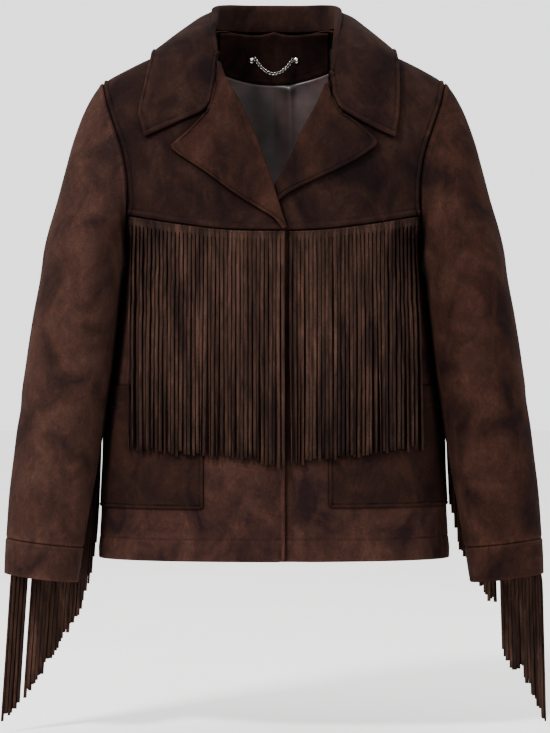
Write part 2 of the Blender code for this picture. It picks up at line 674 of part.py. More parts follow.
def fringe(name, strip, strands, nap):
    """A strip with strands cut from its lower edge.

    strip holds four corners at each station (upper inner, upper outer, lower outer, lower inner);
    strand i hangs between stations 2i and 2i + 1 and holds four corners at each of its sections.
    """
    points = list(strip.reshape(-1, 3))
    faces = []
    for s in range(len(strip) - 1):
        a, b = 4 * s, 4 * s + 4
        for i, j in ((0, 1), (1, 2), (3, 0)):
            faces.append((a + i, a + j, b + j, b + i))
        if s % 2:
            faces.append((a + 2, a + 3, b + 3, b + 2))
            continue
        ring = (a + 2, a + 3, b + 3, b + 2)
        for section in strands[s // 2]:
            below = tuple(range(len(points), len(points) + 4))
            points.extend(section)
            faces += [(ring[i], ring[(i + 1) % 4], below[(i + 1) % 4], below[i]) for i in range(4)]
            ring = below
        faces.append(ring)
    faces += [(3, 2, 1, 0), tuple(4 * len(strip) - 4 + i for i in range(4))]
    solid(name, points, faces, nap)


def strand_section(centre, across, through, wide, thick):
    """Corners of a strand's section, in the order of the strip's lower edge: outer, inner, inner, outer."""
    a, b = across * wide / 2, through * thick / 2
    return np.array([centre - a + b, centre - a - b, centre + a - b, centre + a + b])


# Chest fringe: from where to where the strip runs, how many strands, and how long they are at both ends.
CHEST_FRINGE = {-1: (-12.3, 170.0, 39), 1: (17.5, 169.0, 33)}
CHEST_ENDS = {  # lowest point by distance from the centre on the side
    -1: table("x z", (-12.3, -508), (5, -503), (86, -493), (172, -485)),
    1: table("x z", (15, -502), (95, -493), (172, -485)),
}


def chest_fringe(side):
    inner, outer, count = CHEST_FRINGE[side]
    random.seed(11 + side)
    pitch = (outer - inner) / count
    left = inner + pitch * np.arange(count) + (pitch - STRAND) / 2
    x = np.stack([left, left + STRAND], -1).reshape(-1)
    x[0], x[-1] = inner, outer
    top = smooth(YOKE, "x", "z", np.abs(x)) - 0.8
    low = top - STRIP_HIGH
    layer = layer_lift(side, x)

    def corner(z, lift):
        return laid(x, z, lift + layer)[0]

    near, far = STRIP_LIFT, STRIP_LIFT + STRIP
    strip = np.stack([corner(top, near), corner(top, far), corner(low, far), corner(low, near)], 1)
    strands = []
    for i in range(count):
        middle = (x[2 * i] + x[2 * i + 1]) / 2
        start = low[2 * i]
        end = smooth(CHEST_ENDS[side], "x", "z", middle) + random.uniform(-4, 4)
        twist = random.choice((0, 0, 0, 12, -14, 24, -28, 62)) + random.uniform(-6, 6)
        drift = random.uniform(-0.3, 0.3)
        sections = []
        for share in (0.3, 0.62, 1.0):
            z = start + (end - start) * share
            turn = math.radians(twist * (0.4 + 0.6 * share))
            place = middle + drift * share
            lift = STRIP_LIFT + STRIP / 2 + 2.8 * float(ease((start - z) / 170))
            lift = lift + abs(math.sin(turn)) * STRAND / 2 + layer_lift(side, place)
            centre, normal = laid(place, z, lift)
            flat = unit(normal * (1, 1, 0))
            across = unit(np.cross(flat, np.array([0.0, 0, 1])))
            across = across * (1 if across[0] > 0 else -1)
            turned = across * math.cos(turn) + flat * math.sin(turn)
            through = flat * math.cos(turn) - across * math.sin(turn)
            sections.append(strand_section(centre, turned, through, STRAND - 0.3, STRAND_THICK))
        strands.append(np.array(sections) * (side, 1, 1))
    fringe(f"fringe_chest_{SIDES[side]}", strip * (side, 1, 1), strands, "suede")


# Sleeve fringe: runs of strands down the hindarm seam; share is how much of its pitch a strand's root takes.
SLEEVE_FRINGE = {
    -1: table("start end strands share", (-300, -462, 8, 0.5), (-462, -600, 15, 0.92), (-607, -627, 4, 0.9)),
    1: table("start end strands share", (-300, -462, 8, 0.5), (-462, -565, 10, 0.92), (-575, -634, 12, 0.92)),
}
SLEEVE_ENDS = {  # height of a strand's end by the height of its root
    -1: table("z end", (-640, -822), (-300, -482)),
    1: table(
        "z end",
        (-640, -820), (-634, -812), (-620, -790), (-605, -750), (-590, -752), (-575, -722), (-565, -676),
        (-540, -659), (-524, -640), (-491, -603), (-466, -562), (-300, -440),
    ),
}
SLANT = {-1: 0.066, 1: 0.028}  # how far the strands hang outwards, per length


def clear_of_sleeve(point, gap):
    """A point moved straight out of the sleeve, seen from above, if it is in it."""
    x, y, z = point
    if z < CUFF_EDGE - 6:
        return point
    level = z
    lean = math.tan(math.radians(ARM_TILT))
    for _ in range(4):
        at = max(level, CUFF_EDGE)
        read = {name: float(smooth(SLEEVE, "z", name, at)) for name in ("x", "y", "wide", "deep")}
        level = z - (x - read["x"]) * lean
    across, along = (x - read["x"]) / (read["wide"] + gap), (y - read["y"]) / (read["deep"] + gap)
    ratio = math.hypot(across, along)
    if ratio >= 1:
        return point
    return np.array([read["x"] + (x - read["x"]) / ratio, read["y"] + (y - read["y"]) / ratio, z])


def clear_of_body(point, gap):
    """A point moved straight out sideways from the body, if it is in it."""
    x, y, z = point
    if z < HEM - 4:
        z = HEM
    deep = float(smooth(BODY, "z", "back" if y > 0 else "front", z))
    reach = float(smooth(BODY, "z", "half", z) * shut(y / deep, SQUARE)) + gap
    return np.array([max(x, reach), y, point[2]])


def root_edges(side):
    """Heights between which the strands' roots lie on the hindarm seam, evenly spaced as seen from above."""
    runs = SLEEVE_FRINGE[side]
    z = np.linspace(runs["start"][0], runs["end"][-1], 400)
    down = down_at(z)
    steps = np.diff(sleeve(seam_at(down), down)[:, :2], axis=0)
    gone = np.concatenate([[0], np.cumsum(np.linalg.norm(steps, axis=1))])
    edges = []
    for start, end, count, share in zip(*runs.values()):
        ends = np.interp([-start, -end], -z, gone)
        marks = np.interp(np.linspace(*ends, int(count) + 1), gone, z)
        middle, half = (marks[:-1] + marks[1:]) / 2, (marks[:-1] - marks[1:]) / 2 * share
        edges.append(np.stack([middle + half, middle - half], -1).reshape(-1))
    return np.concatenate(edges)


def sleeve_fringe(side):
    random.seed(31 + side)
    z = root_edges(side)
    down = down_at(z)
    at = seam_at(down)
    half = STRIP_HIGH / 2 / SLEEVE_GIRTH

    def corner(shift, lift):
        return sleeve(at + shift, down) + sleeve_out(at + shift, down) * lift

    near, far = STRIP_LIFT, STRIP_LIFT + STRIP
    strip = np.stack([corner(-half, near), corner(-half, far), corner(half, far), corner(half, near)], 1)
    strands = []
    starts = (strip[0::2] + strip[1::2])[:, 2:].mean(1) / 2
    shift = np.gradient(starts, axis=0) * (1, 1, 0)
    for i in range(len(starts)):
        start, move = starts[i], shift[i]
        along = unit(move)
        facing = min(max((float(np.linalg.norm(move)) - 1.75) / 2.85, 0), 1)
        aside = np.array([-along[1], along[0], 0.0])
        away = sleeve_out(at[2 * i] + half, down[2 * i]) * (1, 1, 0)
        root = strip[2 * i : 2 * i + 2]
        down_seam = unit(root[1, 2] - root[0, 2])
        leaving = unit((root[:, 3] - root[:, 0]).mean(0))
        guide = down_seam * (1, 1, 0) - leaving * abs(down_seam[2])
        aside = aside * np.sign(aside @ guide)
        along = along * np.sign(along @ guide)
        across = unit(along * facing + aside * math.sqrt(1 - facing**2))
        hand = np.sign(np.cross(down_seam, root[0, 2] - root[0, 3]) @ leaving)
        through = np.array([across[1], -across[0], 0.0]) * hand
        ends = SLEEVE_ENDS[side]
        length = start[2] - float(np.interp(start[2], ends["z"], ends["end"])) + random.uniform(-5, 4)
        lean = random.uniform(-0.15, 0.15)
        sections = []
        for share in (0.07, 0.5, 1.0):
            centre = start + away * 3.2 * min(share / 0.07, 1) + along * lean * share
            out = SLANT[side] * length * share
            centre = np.array([centre[0] + out, centre[1], start[2] - length * share])
            centre = clear_of_body(clear_of_sleeve(centre, 3.2), 5.0)
            wide = SLEEVE_STRAND if share > 0.1 else SLEEVE_STRAND - 0.3
            sections.append(strand_section(centre, across, through, wide, STRAND_THICK))
        strands.append(np.array(sections) * (side, 1, 1))
    fringe(f"fringe_sleeve_{SIDES[side]}", strip * (side, 1, 1), strands, "suede_red")


def neck_facing():
    """Suede inside the back neck, from the collar's foot down."""
    u = np.linspace(-1, 1, 7)[None, :]
    v = np.linspace(0, 1, 7)[:, None]
    x = u * FACING_WIDE
    top = BACK_NECK + (90 - BACK_NECK) * (np.abs(x) / NECK) ** 2.2 - 2.6
    low = 180 - turn_at(x, FACING_LOW + FACING_CURVE * u**2, behind=True)
    turn = 180 - (low + (top - low) * v)
    outer = over(x, turn)
    normals = facing_out(over, x, turn, 0.5, 0.5, outer * (1, 1, 0) + (0, 20, 20))
    wall("neck_facing", outer - normals * (SUEDE + FACING_GAP), normals, "suede", SUEDE)


def back_lining():
    """The smooth lining inside the back, below the neck facing."""
    u = np.linspace(-1, 1, 13)[None, :]
    v = np.linspace(0, 1, 10)[:, None]
    x = u * (LINING_WIDE + (FACING_WIDE - LINING_WIDE) * ease((v - 0.55) / 0.45))
    seam = FACING_LOW + FACING_CURVE * np.minimum(np.abs(x) / FACING_WIDE, 1) ** 2
    z = LINING_LOW + (seam - 2.4 - LINING_LOW) * v
    gap = FACING_GAP + (LINING_GAP - FACING_GAP) * ease((0.7 - v) / 0.4)
    outer, normals = laid(x, z, -(SUEDE + gap), behind=True)
    wall("back_lining", outer, normals, "satin", LINING)


def chain():
    """The hanger chain, a loop between two rivets in the neck facing."""
    ends = np.array([-RIVET_OUT, RIVET_OUT])
    place, normal = laid(ends, RIVET_HIGH, -(2 * SUEDE + FACING_GAP + 0.45), behind=True)
    for point, outward, name in ((place[0], normal[0], "right"), (place[1], normal[1], "left")):
        inward = -outward
        side_way = unit(np.cross(inward, np.array([0.0, 0, 1])))
        upward = np.cross(side_way, inward)
        rings = []
        for depth, radius in ((0.35, RIVET), (1.2, RIVET), (1.9, RIVET * 0.62)):
            turn = np.radians(np.arange(0, 360, 36))
            rings.append(point + inward * depth + radius * (np.cos(turn)[:, None] * side_way
                                                            + np.sin(turn)[:, None] * upward))
        points = np.concatenate(rings)
        faces = [tuple(range(9, -1, -1)), tuple(range(20, 30))]
        for r in (0, 10):
            faces += [(r + i, r + (i + 1) % 10, r + 10 + (i + 1) % 10, r + 10 + i) for i in range(10)]
        solid(f"chain_rivet_{name}", points, faces, "steel")
    t = np.linspace(-1, 1, 15)
    reach = RIVET_OUT - RIVET - 0.6
    y = float(place[:, 1].mean()) - CHAIN_OFF
    path = np.stack([t * reach, np.full_like(t, y), RIVET_HIGH - CHAIN_SAG * (1 - t**2)], -1)
    along = unit(np.gradient(path, axis=0))
    sideways = np.array([0.0, 1, 0])
    upward = np.cross(along, sideways)
    turn = np.radians(np.arange(0, 360, 60))
    rings = path[:, None] + CHAIN_THICK / 2 * (np.cos(turn)[None, :, None] * sideways
                                               + np.sin(turn)[None, :, None] * upward[:, None])
    points = rings.reshape(-1, 3)
    faces = [tuple(range(5, -1, -1)), tuple(len(points) - 6 + i for i in range(6))]
    for r in range(len(t) - 1):
        faces += [(6 * r + i, 6 * r + (i + 1) % 6, 6 * r + 6 + (i + 1) % 6, 6 * r + 6 + i) for i in range(6)]
    solid("hanger_chain", points, faces, "steel")


def main():
    for old in list(bpy.data.objects):
        bpy.data.objects.remove(old, do_unlink=True)
    back()
    for side in (-1, 1):
        yoke(side)
        front(side)
        lapel(side)
        sleeve_parts(side)
        pocket(side)
        chest_fringe(side)
        sleeve_fringe(side)
    collar()
    neck_facing()
    back_lining()
    chain()


main()
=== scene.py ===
# Looks of a fringed suede jacket that is filled out as when worn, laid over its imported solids
import math
import random

import bmesh
import bpy
import numpy as np
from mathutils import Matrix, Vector


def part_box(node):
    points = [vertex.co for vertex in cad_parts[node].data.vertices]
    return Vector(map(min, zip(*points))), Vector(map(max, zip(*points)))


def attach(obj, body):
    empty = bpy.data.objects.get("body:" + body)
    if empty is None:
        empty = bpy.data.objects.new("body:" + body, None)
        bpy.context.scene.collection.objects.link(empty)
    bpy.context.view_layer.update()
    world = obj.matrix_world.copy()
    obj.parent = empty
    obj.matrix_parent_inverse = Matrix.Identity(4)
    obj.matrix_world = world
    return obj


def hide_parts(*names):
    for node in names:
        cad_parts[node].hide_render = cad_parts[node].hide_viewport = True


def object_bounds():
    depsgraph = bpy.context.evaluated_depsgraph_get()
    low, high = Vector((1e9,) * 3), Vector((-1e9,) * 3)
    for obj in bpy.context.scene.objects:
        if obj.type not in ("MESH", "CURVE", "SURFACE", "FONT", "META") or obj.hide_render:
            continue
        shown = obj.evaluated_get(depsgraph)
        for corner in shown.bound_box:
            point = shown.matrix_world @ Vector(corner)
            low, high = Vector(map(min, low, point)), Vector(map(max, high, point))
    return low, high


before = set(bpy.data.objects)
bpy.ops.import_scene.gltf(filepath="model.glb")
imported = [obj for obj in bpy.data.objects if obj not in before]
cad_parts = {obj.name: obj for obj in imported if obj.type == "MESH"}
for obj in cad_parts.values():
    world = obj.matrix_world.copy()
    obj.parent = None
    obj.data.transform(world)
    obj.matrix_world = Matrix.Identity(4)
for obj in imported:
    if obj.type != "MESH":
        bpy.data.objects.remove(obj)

cadBox = [list(corner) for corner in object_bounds()]
mm = 0.001  # the cut is worked out in millimetres and made in metres
sideNames = {-1: "right", 1: "left"}  # the wearer's
leather = {"thick": 1.8, "seamGap": 0.1, "collarThick": 2.0, "cuffThick": 2.4, "lining": 1.0}


def table(names, *rows):
    return dict(zip(names.split(), np.array(rows, float).T))


def smooth(columns, key, name, at):  # a column of a table on a cubic through its rows
    xs, ys = columns[key], columns[name]
    slope = np.gradient(ys, xs)
    at = np.clip(at, xs[0], xs[-1])
    row = np.clip(np.searchsorted(xs, at) - 1, 0, len(xs) - 2)
    step = xs[row + 1] - xs[row]
    t = (at - xs[row]) / step
    start = (2 * t**3 - 3 * t**2 + 1) * ys[row] + (t**3 - 2 * t**2 + t) * step * slope[row]
    return start + (3 * t**2 - 2 * t**3) * ys[row + 1] + (t**3 - t**2) * step * slope[row + 1]


def ease(t):
    t = np.clip(t, 0, 1)
    return t * t * (3 - 2 * t)


def unit(v):
    return v / np.maximum(np.linalg.norm(v, axis=-1, keepdims=True), 1e-9)


def bump(off, wide):
    return np.exp(-((off / wide) ** 2))


def lengthAlong(line):
    return np.concatenate([[0], np.cumsum(np.linalg.norm(np.diff(line, axis=0), axis=1))])


def pick(line, long, at):  # the points of a line, or the normals on it, at given lengths along it
    return np.stack([np.interp(at, long, line[:, i]) for i in range(3)], -1)


# The body's form: level sections are superellipses that close over the shoulders
armpit, hem, neckWide = -240.0, -617.0, 72.0
square, crown, lean, backNeck, neckCurve = 2.3, 2.4, 5.0, 58.5, 2.2
shoulder = {"point": 144, "level": -18, "slope": 0.40, "beyond": 0.42, "bend": 0.0016,
            "neckRise": 15, "neckHalf": 60}
body = table(
    "z half front back",
    (-620, 210.5, 103, 98), (-560, 207, 103, 96), (-500, 204.6, 103, 94), (-457, 202.8, 103, 91),
    (-412, 196.8, 103, 88), (-350, 189.2, 105, 88), (-318, 186.1, 106, 90), (-286, 182.4, 107, 92),
    (-264, 178.7, 108, 93.5), (-250, 177.8, 108, 94.5), (armpit, 178, 108, 95),
)
chest = table(
    "rise half front back",
    (0, 178, 108, 95), (0.04, 184, 108, 96), (0.08, 189.5, 108, 97), (0.2, 204, 108, 101),
    (0.4, 216, 108, 105), (0.6, 222, 108, 105), (0.8, 228, 108, 104), (0.92, 232, 108, 103),
    (1, 236, 108, 103),
)
armholeLine = table(
    "rise front back",
    (0, 178, 178), (0.05, 175.5, 177), (0.1, 174.5, 176.5), (0.17, 172.5, 176), (0.33, 173, 178),
    (0.51, 179, 184), (0.675, 189, 190), (0.85, 199, 199), (1, 205, 205),
)
yokeLine = table("x z", (0, -231.5), (20, -231.5), (50, -230.5), (110, -223), (170, -211.5), (210, -203))
yokeRidge = {"high": 1.5, "fades": 16.0}  # the yoke's lower edge stands up over the fringe strip
rollLine = {
    -1: table("z x", (-230, -14), (-210, -7), (-182, 1), (-151, 11.5), (-109, 28), (-79, 42.5), (-54, 57),
              (-28, 65), (-6, 69), (14.35, neckWide)),
    1: table("z x", (-232, -14), (-212, -13.5), (-194, -6.5), (-172, 6), (-143, 22), (-113, 35), (-92, 47),
             (-66, 58.5), (-50, 65), (-28, 69.5), (-6, 71), (14.35, neckWide)),
}
rollLook = {"opens": {-1: -222.0, 1: -182.0}, "tight": 1.35, "grows": 1.45, "over": 60.0}
frontLayer = {"lift": {-1: 1.4, 1: -3.7}, "from": 18.0, "to": 48.0, "overlap": 14.0}  # right front over left


def shoulderHeight(x):
    out = np.abs(x) - shoulder["point"]
    slope = np.where(out > 0, -shoulder["beyond"] * out - shoulder["bend"] * out**2, -shoulder["slope"] * out)
    return shoulder["level"] + slope + shoulder["neckRise"] * bump(x, shoulder["neckHalf"])


def neckTurn(x):  # how far over the shoulder the back ends, at the neck
    return backNeck + (90 - backNeck) * np.minimum(np.abs(x) / neckWide, 1) ** neckCurve


def shut(ratio, power):
    return np.maximum(1 - np.minimum(np.abs(ratio), 1) ** power, 0) ** (1 / power)


def over(x, turn):  # above the armpits: turn is 0 in front, 90 on the shoulder, 180 behind
    angle = np.radians(turn)
    rise = np.maximum(np.sin(angle), 0) ** (2 / crown)
    front = np.cos(angle) >= 0
    depth = np.where(front, smooth(chest, "rise", "front", rise), smooth(chest, "rise", "back", rise))
    level = np.abs(np.cos(angle)) ** (2 / crown) * shut(x / smooth(chest, "rise", "half", rise), square)
    y = lean * rise - np.where(front, 1, -1) * depth * level
    return np.stack(np.broadcast_arrays(x, y, armpit + rise * (shoulderHeight(x) - armpit)), -1)


def turnAt(x, z, behind=False):
    rise = np.clip((z - armpit) / (shoulderHeight(x) - armpit), 0, 1)
    turn = np.degrees(np.arcsin(rise ** (crown / 2)))
    return 180 - turn if behind else turn


def around(side, angle, z):  # at a level: angle is 0 at the centre front, 90 at the side seam, 180 behind
    turn = np.radians(angle)
    across = np.sign(np.sin(turn)) * np.abs(np.sin(turn)) ** (2 / square)
    front = np.cos(turn) >= 0
    low = smooth(body, "z", "half", z)
    rise = np.clip((z - armpit) / (shoulderHeight(low * across) - armpit), 0, 1)
    half = np.where(z > armpit, smooth(chest, "rise", "half", rise), low)
    upper = np.where(front, smooth(chest, "rise", "front", rise), smooth(chest, "rise", "back", rise))
    lower = np.where(front, smooth(body, "z", "front", z), smooth(body, "z", "back", z))
    level = np.abs(np.cos(turn)) ** (2 / square) * shut(rise, crown)
    y = lean * rise - np.where(front, 1, -1) * np.where(z > armpit, upper, lower) * level
    return np.stack(np.broadcast_arrays(side * half * across, y, z), -1)


def angleAt(x, z):
    half = smooth(body, "z", "half", z)
    return np.sign(x) * np.degrees(np.arcsin(np.minimum(np.abs(x) / half, 1) ** (square / 2)))


def facingOut(surface, a, b, away, step=0.5):
    across = surface(a + step, b) - surface(a - step, b)
    along = surface(a, b + step) - surface(a, b - step)
    normal = unit(np.cross(across, along))
    return normal * np.where((normal * away).sum(-1, keepdims=True) < 0, -1, 1)


def wrapped(angle, z, away):  # a grid round the left half of the body, with its normals
    grid = around(1, angle, z)
    return grid, facingOut(lambda a, b: around(1, a, b), angle, z, grid * (1, 1, 0) + away)


def laid(x, z, lift=0.0, behind=False):  # a point on the body over (x, z), moved out, with its normal
    x, z = np.broadcast_arrays(np.asarray(x, float), np.asarray(z, float))

    def heightField(x, z):
        upper = over(x, turnAt(x, z, behind))
        angle = angleAt(np.abs(x), z)
        lower = around(np.sign(x + 1e-9), 180 - angle if behind else angle, z)
        return np.where((z > armpit)[..., None], upper, lower)

    point = heightField(x, z)
    away = np.stack([x / 200, np.full_like(x, 0.5 if behind else -0.5), np.zeros_like(x)], -1)
    normal = facingOut(heightField, x, z, away, step=1.0)
    return point + normal * np.asarray(lift, float)[..., None], normal


def layerLift(side, x):
    faded = ease((x - frontLayer["from"]) / (frontLayer["to"] - frontLayer["from"]))
    return frontLayer["lift"][side] * (1 - faded)


def yokeStep(x, z):
    return yokeRidge["high"] * (1 - ease((z - smooth(yokeLine, "x", "z", np.abs(x))) / yokeRidge["fades"]))


def rollRadius(side, z):
    return rollLook["tight"] + rollLook["grows"] * ease((z - rollLook["opens"][side]) / rollLook["over"])


def innerEdge(side, z):
    return smooth(rollLine[side], "z", "x", z) + rollRadius(side, z)


# How the suede hangs: slow unevenness, and creases placed one by one as valleys between two soft rises
bodyCreases = {  # ends (x, z), width and depth in mm, on the wearer's right (-x) and left
    "front": [
        (-150, -255, -95, -300, 13, 1.5), (-172, -300, -120, -345, 12, 1.3), (140, -262, 92, -315, 14, 1.4),
        (168, -305, 118, -338, 11, 1.2), (-30, -520, -62, -600, 15, 1.3), (44, -515, 60, -606, 16, 1.2),
        (-178, -380, -130, -398, 11, 1.2), (176, -372, 122, -395, 12, 1.1), (-160, -150, -120, -196, 12, 1.0),
        (163, -140, 118, -190, 13, 1.1), (-140, -70, -168, -118, 11, 0.8), (150, -64, 172, -112, 10, 0.9),
        (-188, -560, -120, -585, 14, 1.0), (190, -566, 110, -590, 13, 1.1), (10, -560, -14, -612, 9, 0.7),
    ],
    "back": [
        (-150, -210, -60, -262, 17, 2.4), (152, -222, 70, -280, 16, 2.2), (-168, -270, -84, -318, 15, 1.9),
        (160, -288, 78, -330, 17, 1.8), (-120, -330, 30, -352, 18, 2.0), (130, -345, -10, -372, 19, 1.9),
        (-150, -384, -40, -398, 16, 1.5), (145, -402, 50, -418, 15, 1.4), (-60, -430, -84, -560, 20, 1.3),
        (48, -440, 80, -570, 21, 1.4), (-150, -480, -128, -590, 18, 1.2), (150, -470, 132, -596, 17, 1.1),
        (-90, -60, -140, -130, 18, 1.3), (100, -66, 142, -140, 17, 1.2), (0, -110, 6, -210, 22, 0.9),
    ],
}
sleeveCreases = {  # ends (turn round the sleeve, height), width and depth: 0 inside, 0.25 front, 0.5 outside
    -1: [
        (0.02, -300, 0.30, -332, 11, 2.0), (0.98, -335, 1.22, -352, 10, 1.7), (0.05, -362, 0.36, -384, 12, 1.8),
        (0.62, -330, 0.92, -306, 12, 1.6), (0.60, -372, 0.95, -352, 11, 1.5), (0.10, -420, 0.34, -436, 12, 1.2),
        (0.05, -252, 0.22, -290, 13, 1.6), (0.30, -190, 0.44, -262, 16, 1.2), (0.55, -200, 0.72, -268, 15, 1.2),
        (0.18, -500, 0.40, -528, 14, 1.0), (0.45, -430, 0.60, -470, 16, 1.0), (0.40, -570, 0.20, -588, 10, 0.8),
    ],
    1: [
        (0.00, -306, 0.27, -342, 12, 1.9), (0.02, -344, 0.30, -366, 10, 1.8), (0.96, -372, 1.25, -398, 11, 1.5),
        (0.60, -322, 0.90, -300, 12, 1.6), (0.63, -366, 0.94, -344, 12, 1.6), (0.12, -436, 0.38, -448, 13, 1.1),
        (0.08, -246, 0.24, -292, 12, 1.7), (0.33, -176, 0.42, -250, 15, 1.3), (0.52, -190, 0.70, -260, 16, 1.1),
        (0.22, -516, 0.44, -540, 13, 1.0), (0.48, -420, 0.58, -476, 15, 1.1), (0.12, -566, 0.34, -584, 11, 0.9),
    ],
}
armpitFold = {"high": 4.6, "at": 0.04, "wide": 0.05, "z": -262.0, "tall": 24.0}
capSink = {"deep": 5.2, "z": -185.0, "tall": 70.0}  # the outside of the sleeve's cap settles
# Where sleeve and body lie against each other, and what share of the unevenness that presses flat
pressed = {"from": 150.0, "low": -490.0, "high": -235.0, "front": -75.0, "behind": 55.0, "flat": 0.85}


def valley(a, b, crease, scale=1.0):
    startA, startB, endA, endB, wide, deep = crease
    lineA, lineB = (endA - startA) * scale, endB - startB
    long = math.hypot(lineA, lineB)
    along = ((a - startA) * scale * lineA + (b - startB) * lineB) / long
    bow = 0.06 * along * (1 - along / long)  # creases are never straight
    off = ((a - startA) * scale * lineB - (b - startB) * lineA) / long - bow
    share = along / long
    fade = ease((share + 0.25) / 0.45) * ease((1.25 - share) / 0.5)
    ratio = (off / wide) ** 2
    return -deep * fade * (1 - 0.9 * ratio) * np.exp(-ratio)


def unevenness(points):  # waves of unequal lengths, so that none repeats over the jacket
    x, y, z = (points[..., i] for i in range(3))
    slow = np.sin(x / 33 + 1.3 * np.sin(z / 57 + 0.4) + y / 47)
    slow = slow * np.sin(z / 44 + 0.9 * np.sin(x / 39 + 2.1) - y / 53)
    quick = np.sin(x / 15.3 - z / 21 + 1.7 * np.sin(y / 27 + z / 49)) * np.sin(z / 17.7 + x / 26 + 1.2)
    return 0.5 * slow + 0.16 * quick


def bodyFall(points, share=1.0):
    x, y, z = (points[..., i] for i in range(3))
    behind = ease((y + 25) / 50)
    lift = unevenness(points)
    for crease in bodyCreases["front"]:
        lift = lift + valley(x, z, crease) * (1 - behind)
    for crease in bodyCreases["back"]:
        lift = lift + valley(x, z, crease) * behind
    beside = ease((np.abs(x) - pressed["from"]) / 24) * ease((z - pressed["low"]) / 40)
    beside = beside * ease((pressed["high"] - z) / 20)
    beside = beside * ease((y - pressed["front"]) / 30) * ease((pressed["behind"] - y) / 20)
    return lift * share * (1 - pressed["flat"] * beside)


def sleeveFall(side, at, points):
    z = points[..., 2]
    lift = unevenness(points)
    for crease in sleeveCreases[side]:
        for lap in (-1, 0, 1):
            lift = lift + valley(at + lap, z, crease, sleeveCut["girth"])
    inner = np.cos(2 * math.pi * at)  # 1 inside, -1 outside
    beside = ease((inner - 0.55) / 0.35) * ease((z - pressed["low"]) / 40)
    ahead = np.mod(at + 0.5, 1) - 0.5 - armpitFold["at"]
    pinch = armpitFold["high"] * bump(ahead, armpitFold["wide"])
    pinch = pinch * bump(z - armpitFold["z"], armpitFold["tall"])
    sink = capSink["deep"] * bump(z - capSink["z"], capSink["tall"]) * (0.5 - 0.5 * inner) ** 4
    return lift * (1 - pressed["flat"] * beside) + pinch - sink


print("form ready")


def hexColour(text):  # sRGB hex to the linear values that shaders take
    channels = [int(text[i : i + 2], 16) / 255 for i in (1, 3, 5)]
    return (*(c / 12.92 if c <= 0.04045 else ((c + 0.055) / 1.055) ** 2.4 for c in channels), 1.0)


def newMaterial(name, constants):
    made = bpy.data.materials.new(name)
    made.use_nodes = True
    shader = made.node_tree.nodes["Principled BSDF"]
    for key, value in constants.items():
        shader.inputs[key].default_value = value
    return made, made.node_tree, shader


# One node with its settings, values, links and a ramp's stops
def addNode(tree, kind, settings=None, values=None, links=None, stops=()):
    node = tree.nodes.new(kind)
    for key, value in (settings or {}).items():
        setattr(node, key, value)
    for key, value in (values or {}).items():
        node.inputs[key].default_value = value
    for key, source in (links or {}).items():
        tree.links.new(source, node.inputs[key])
    for i, (place, colour) in enumerate(stops):
        ramp = node.color_ramp.elements
        stop = ramp[i] if i < len(ramp) else ramp.new(1.0)
        stop.position, stop.color = place, hexColour(colour)
    return node


overlay = {"data_type": "RGBA", "blend_type": "OVERLAY"}  # settings of a mix of colours
multiply = {"data_type": "RGBA", "blend_type": "MULTIPLY"}


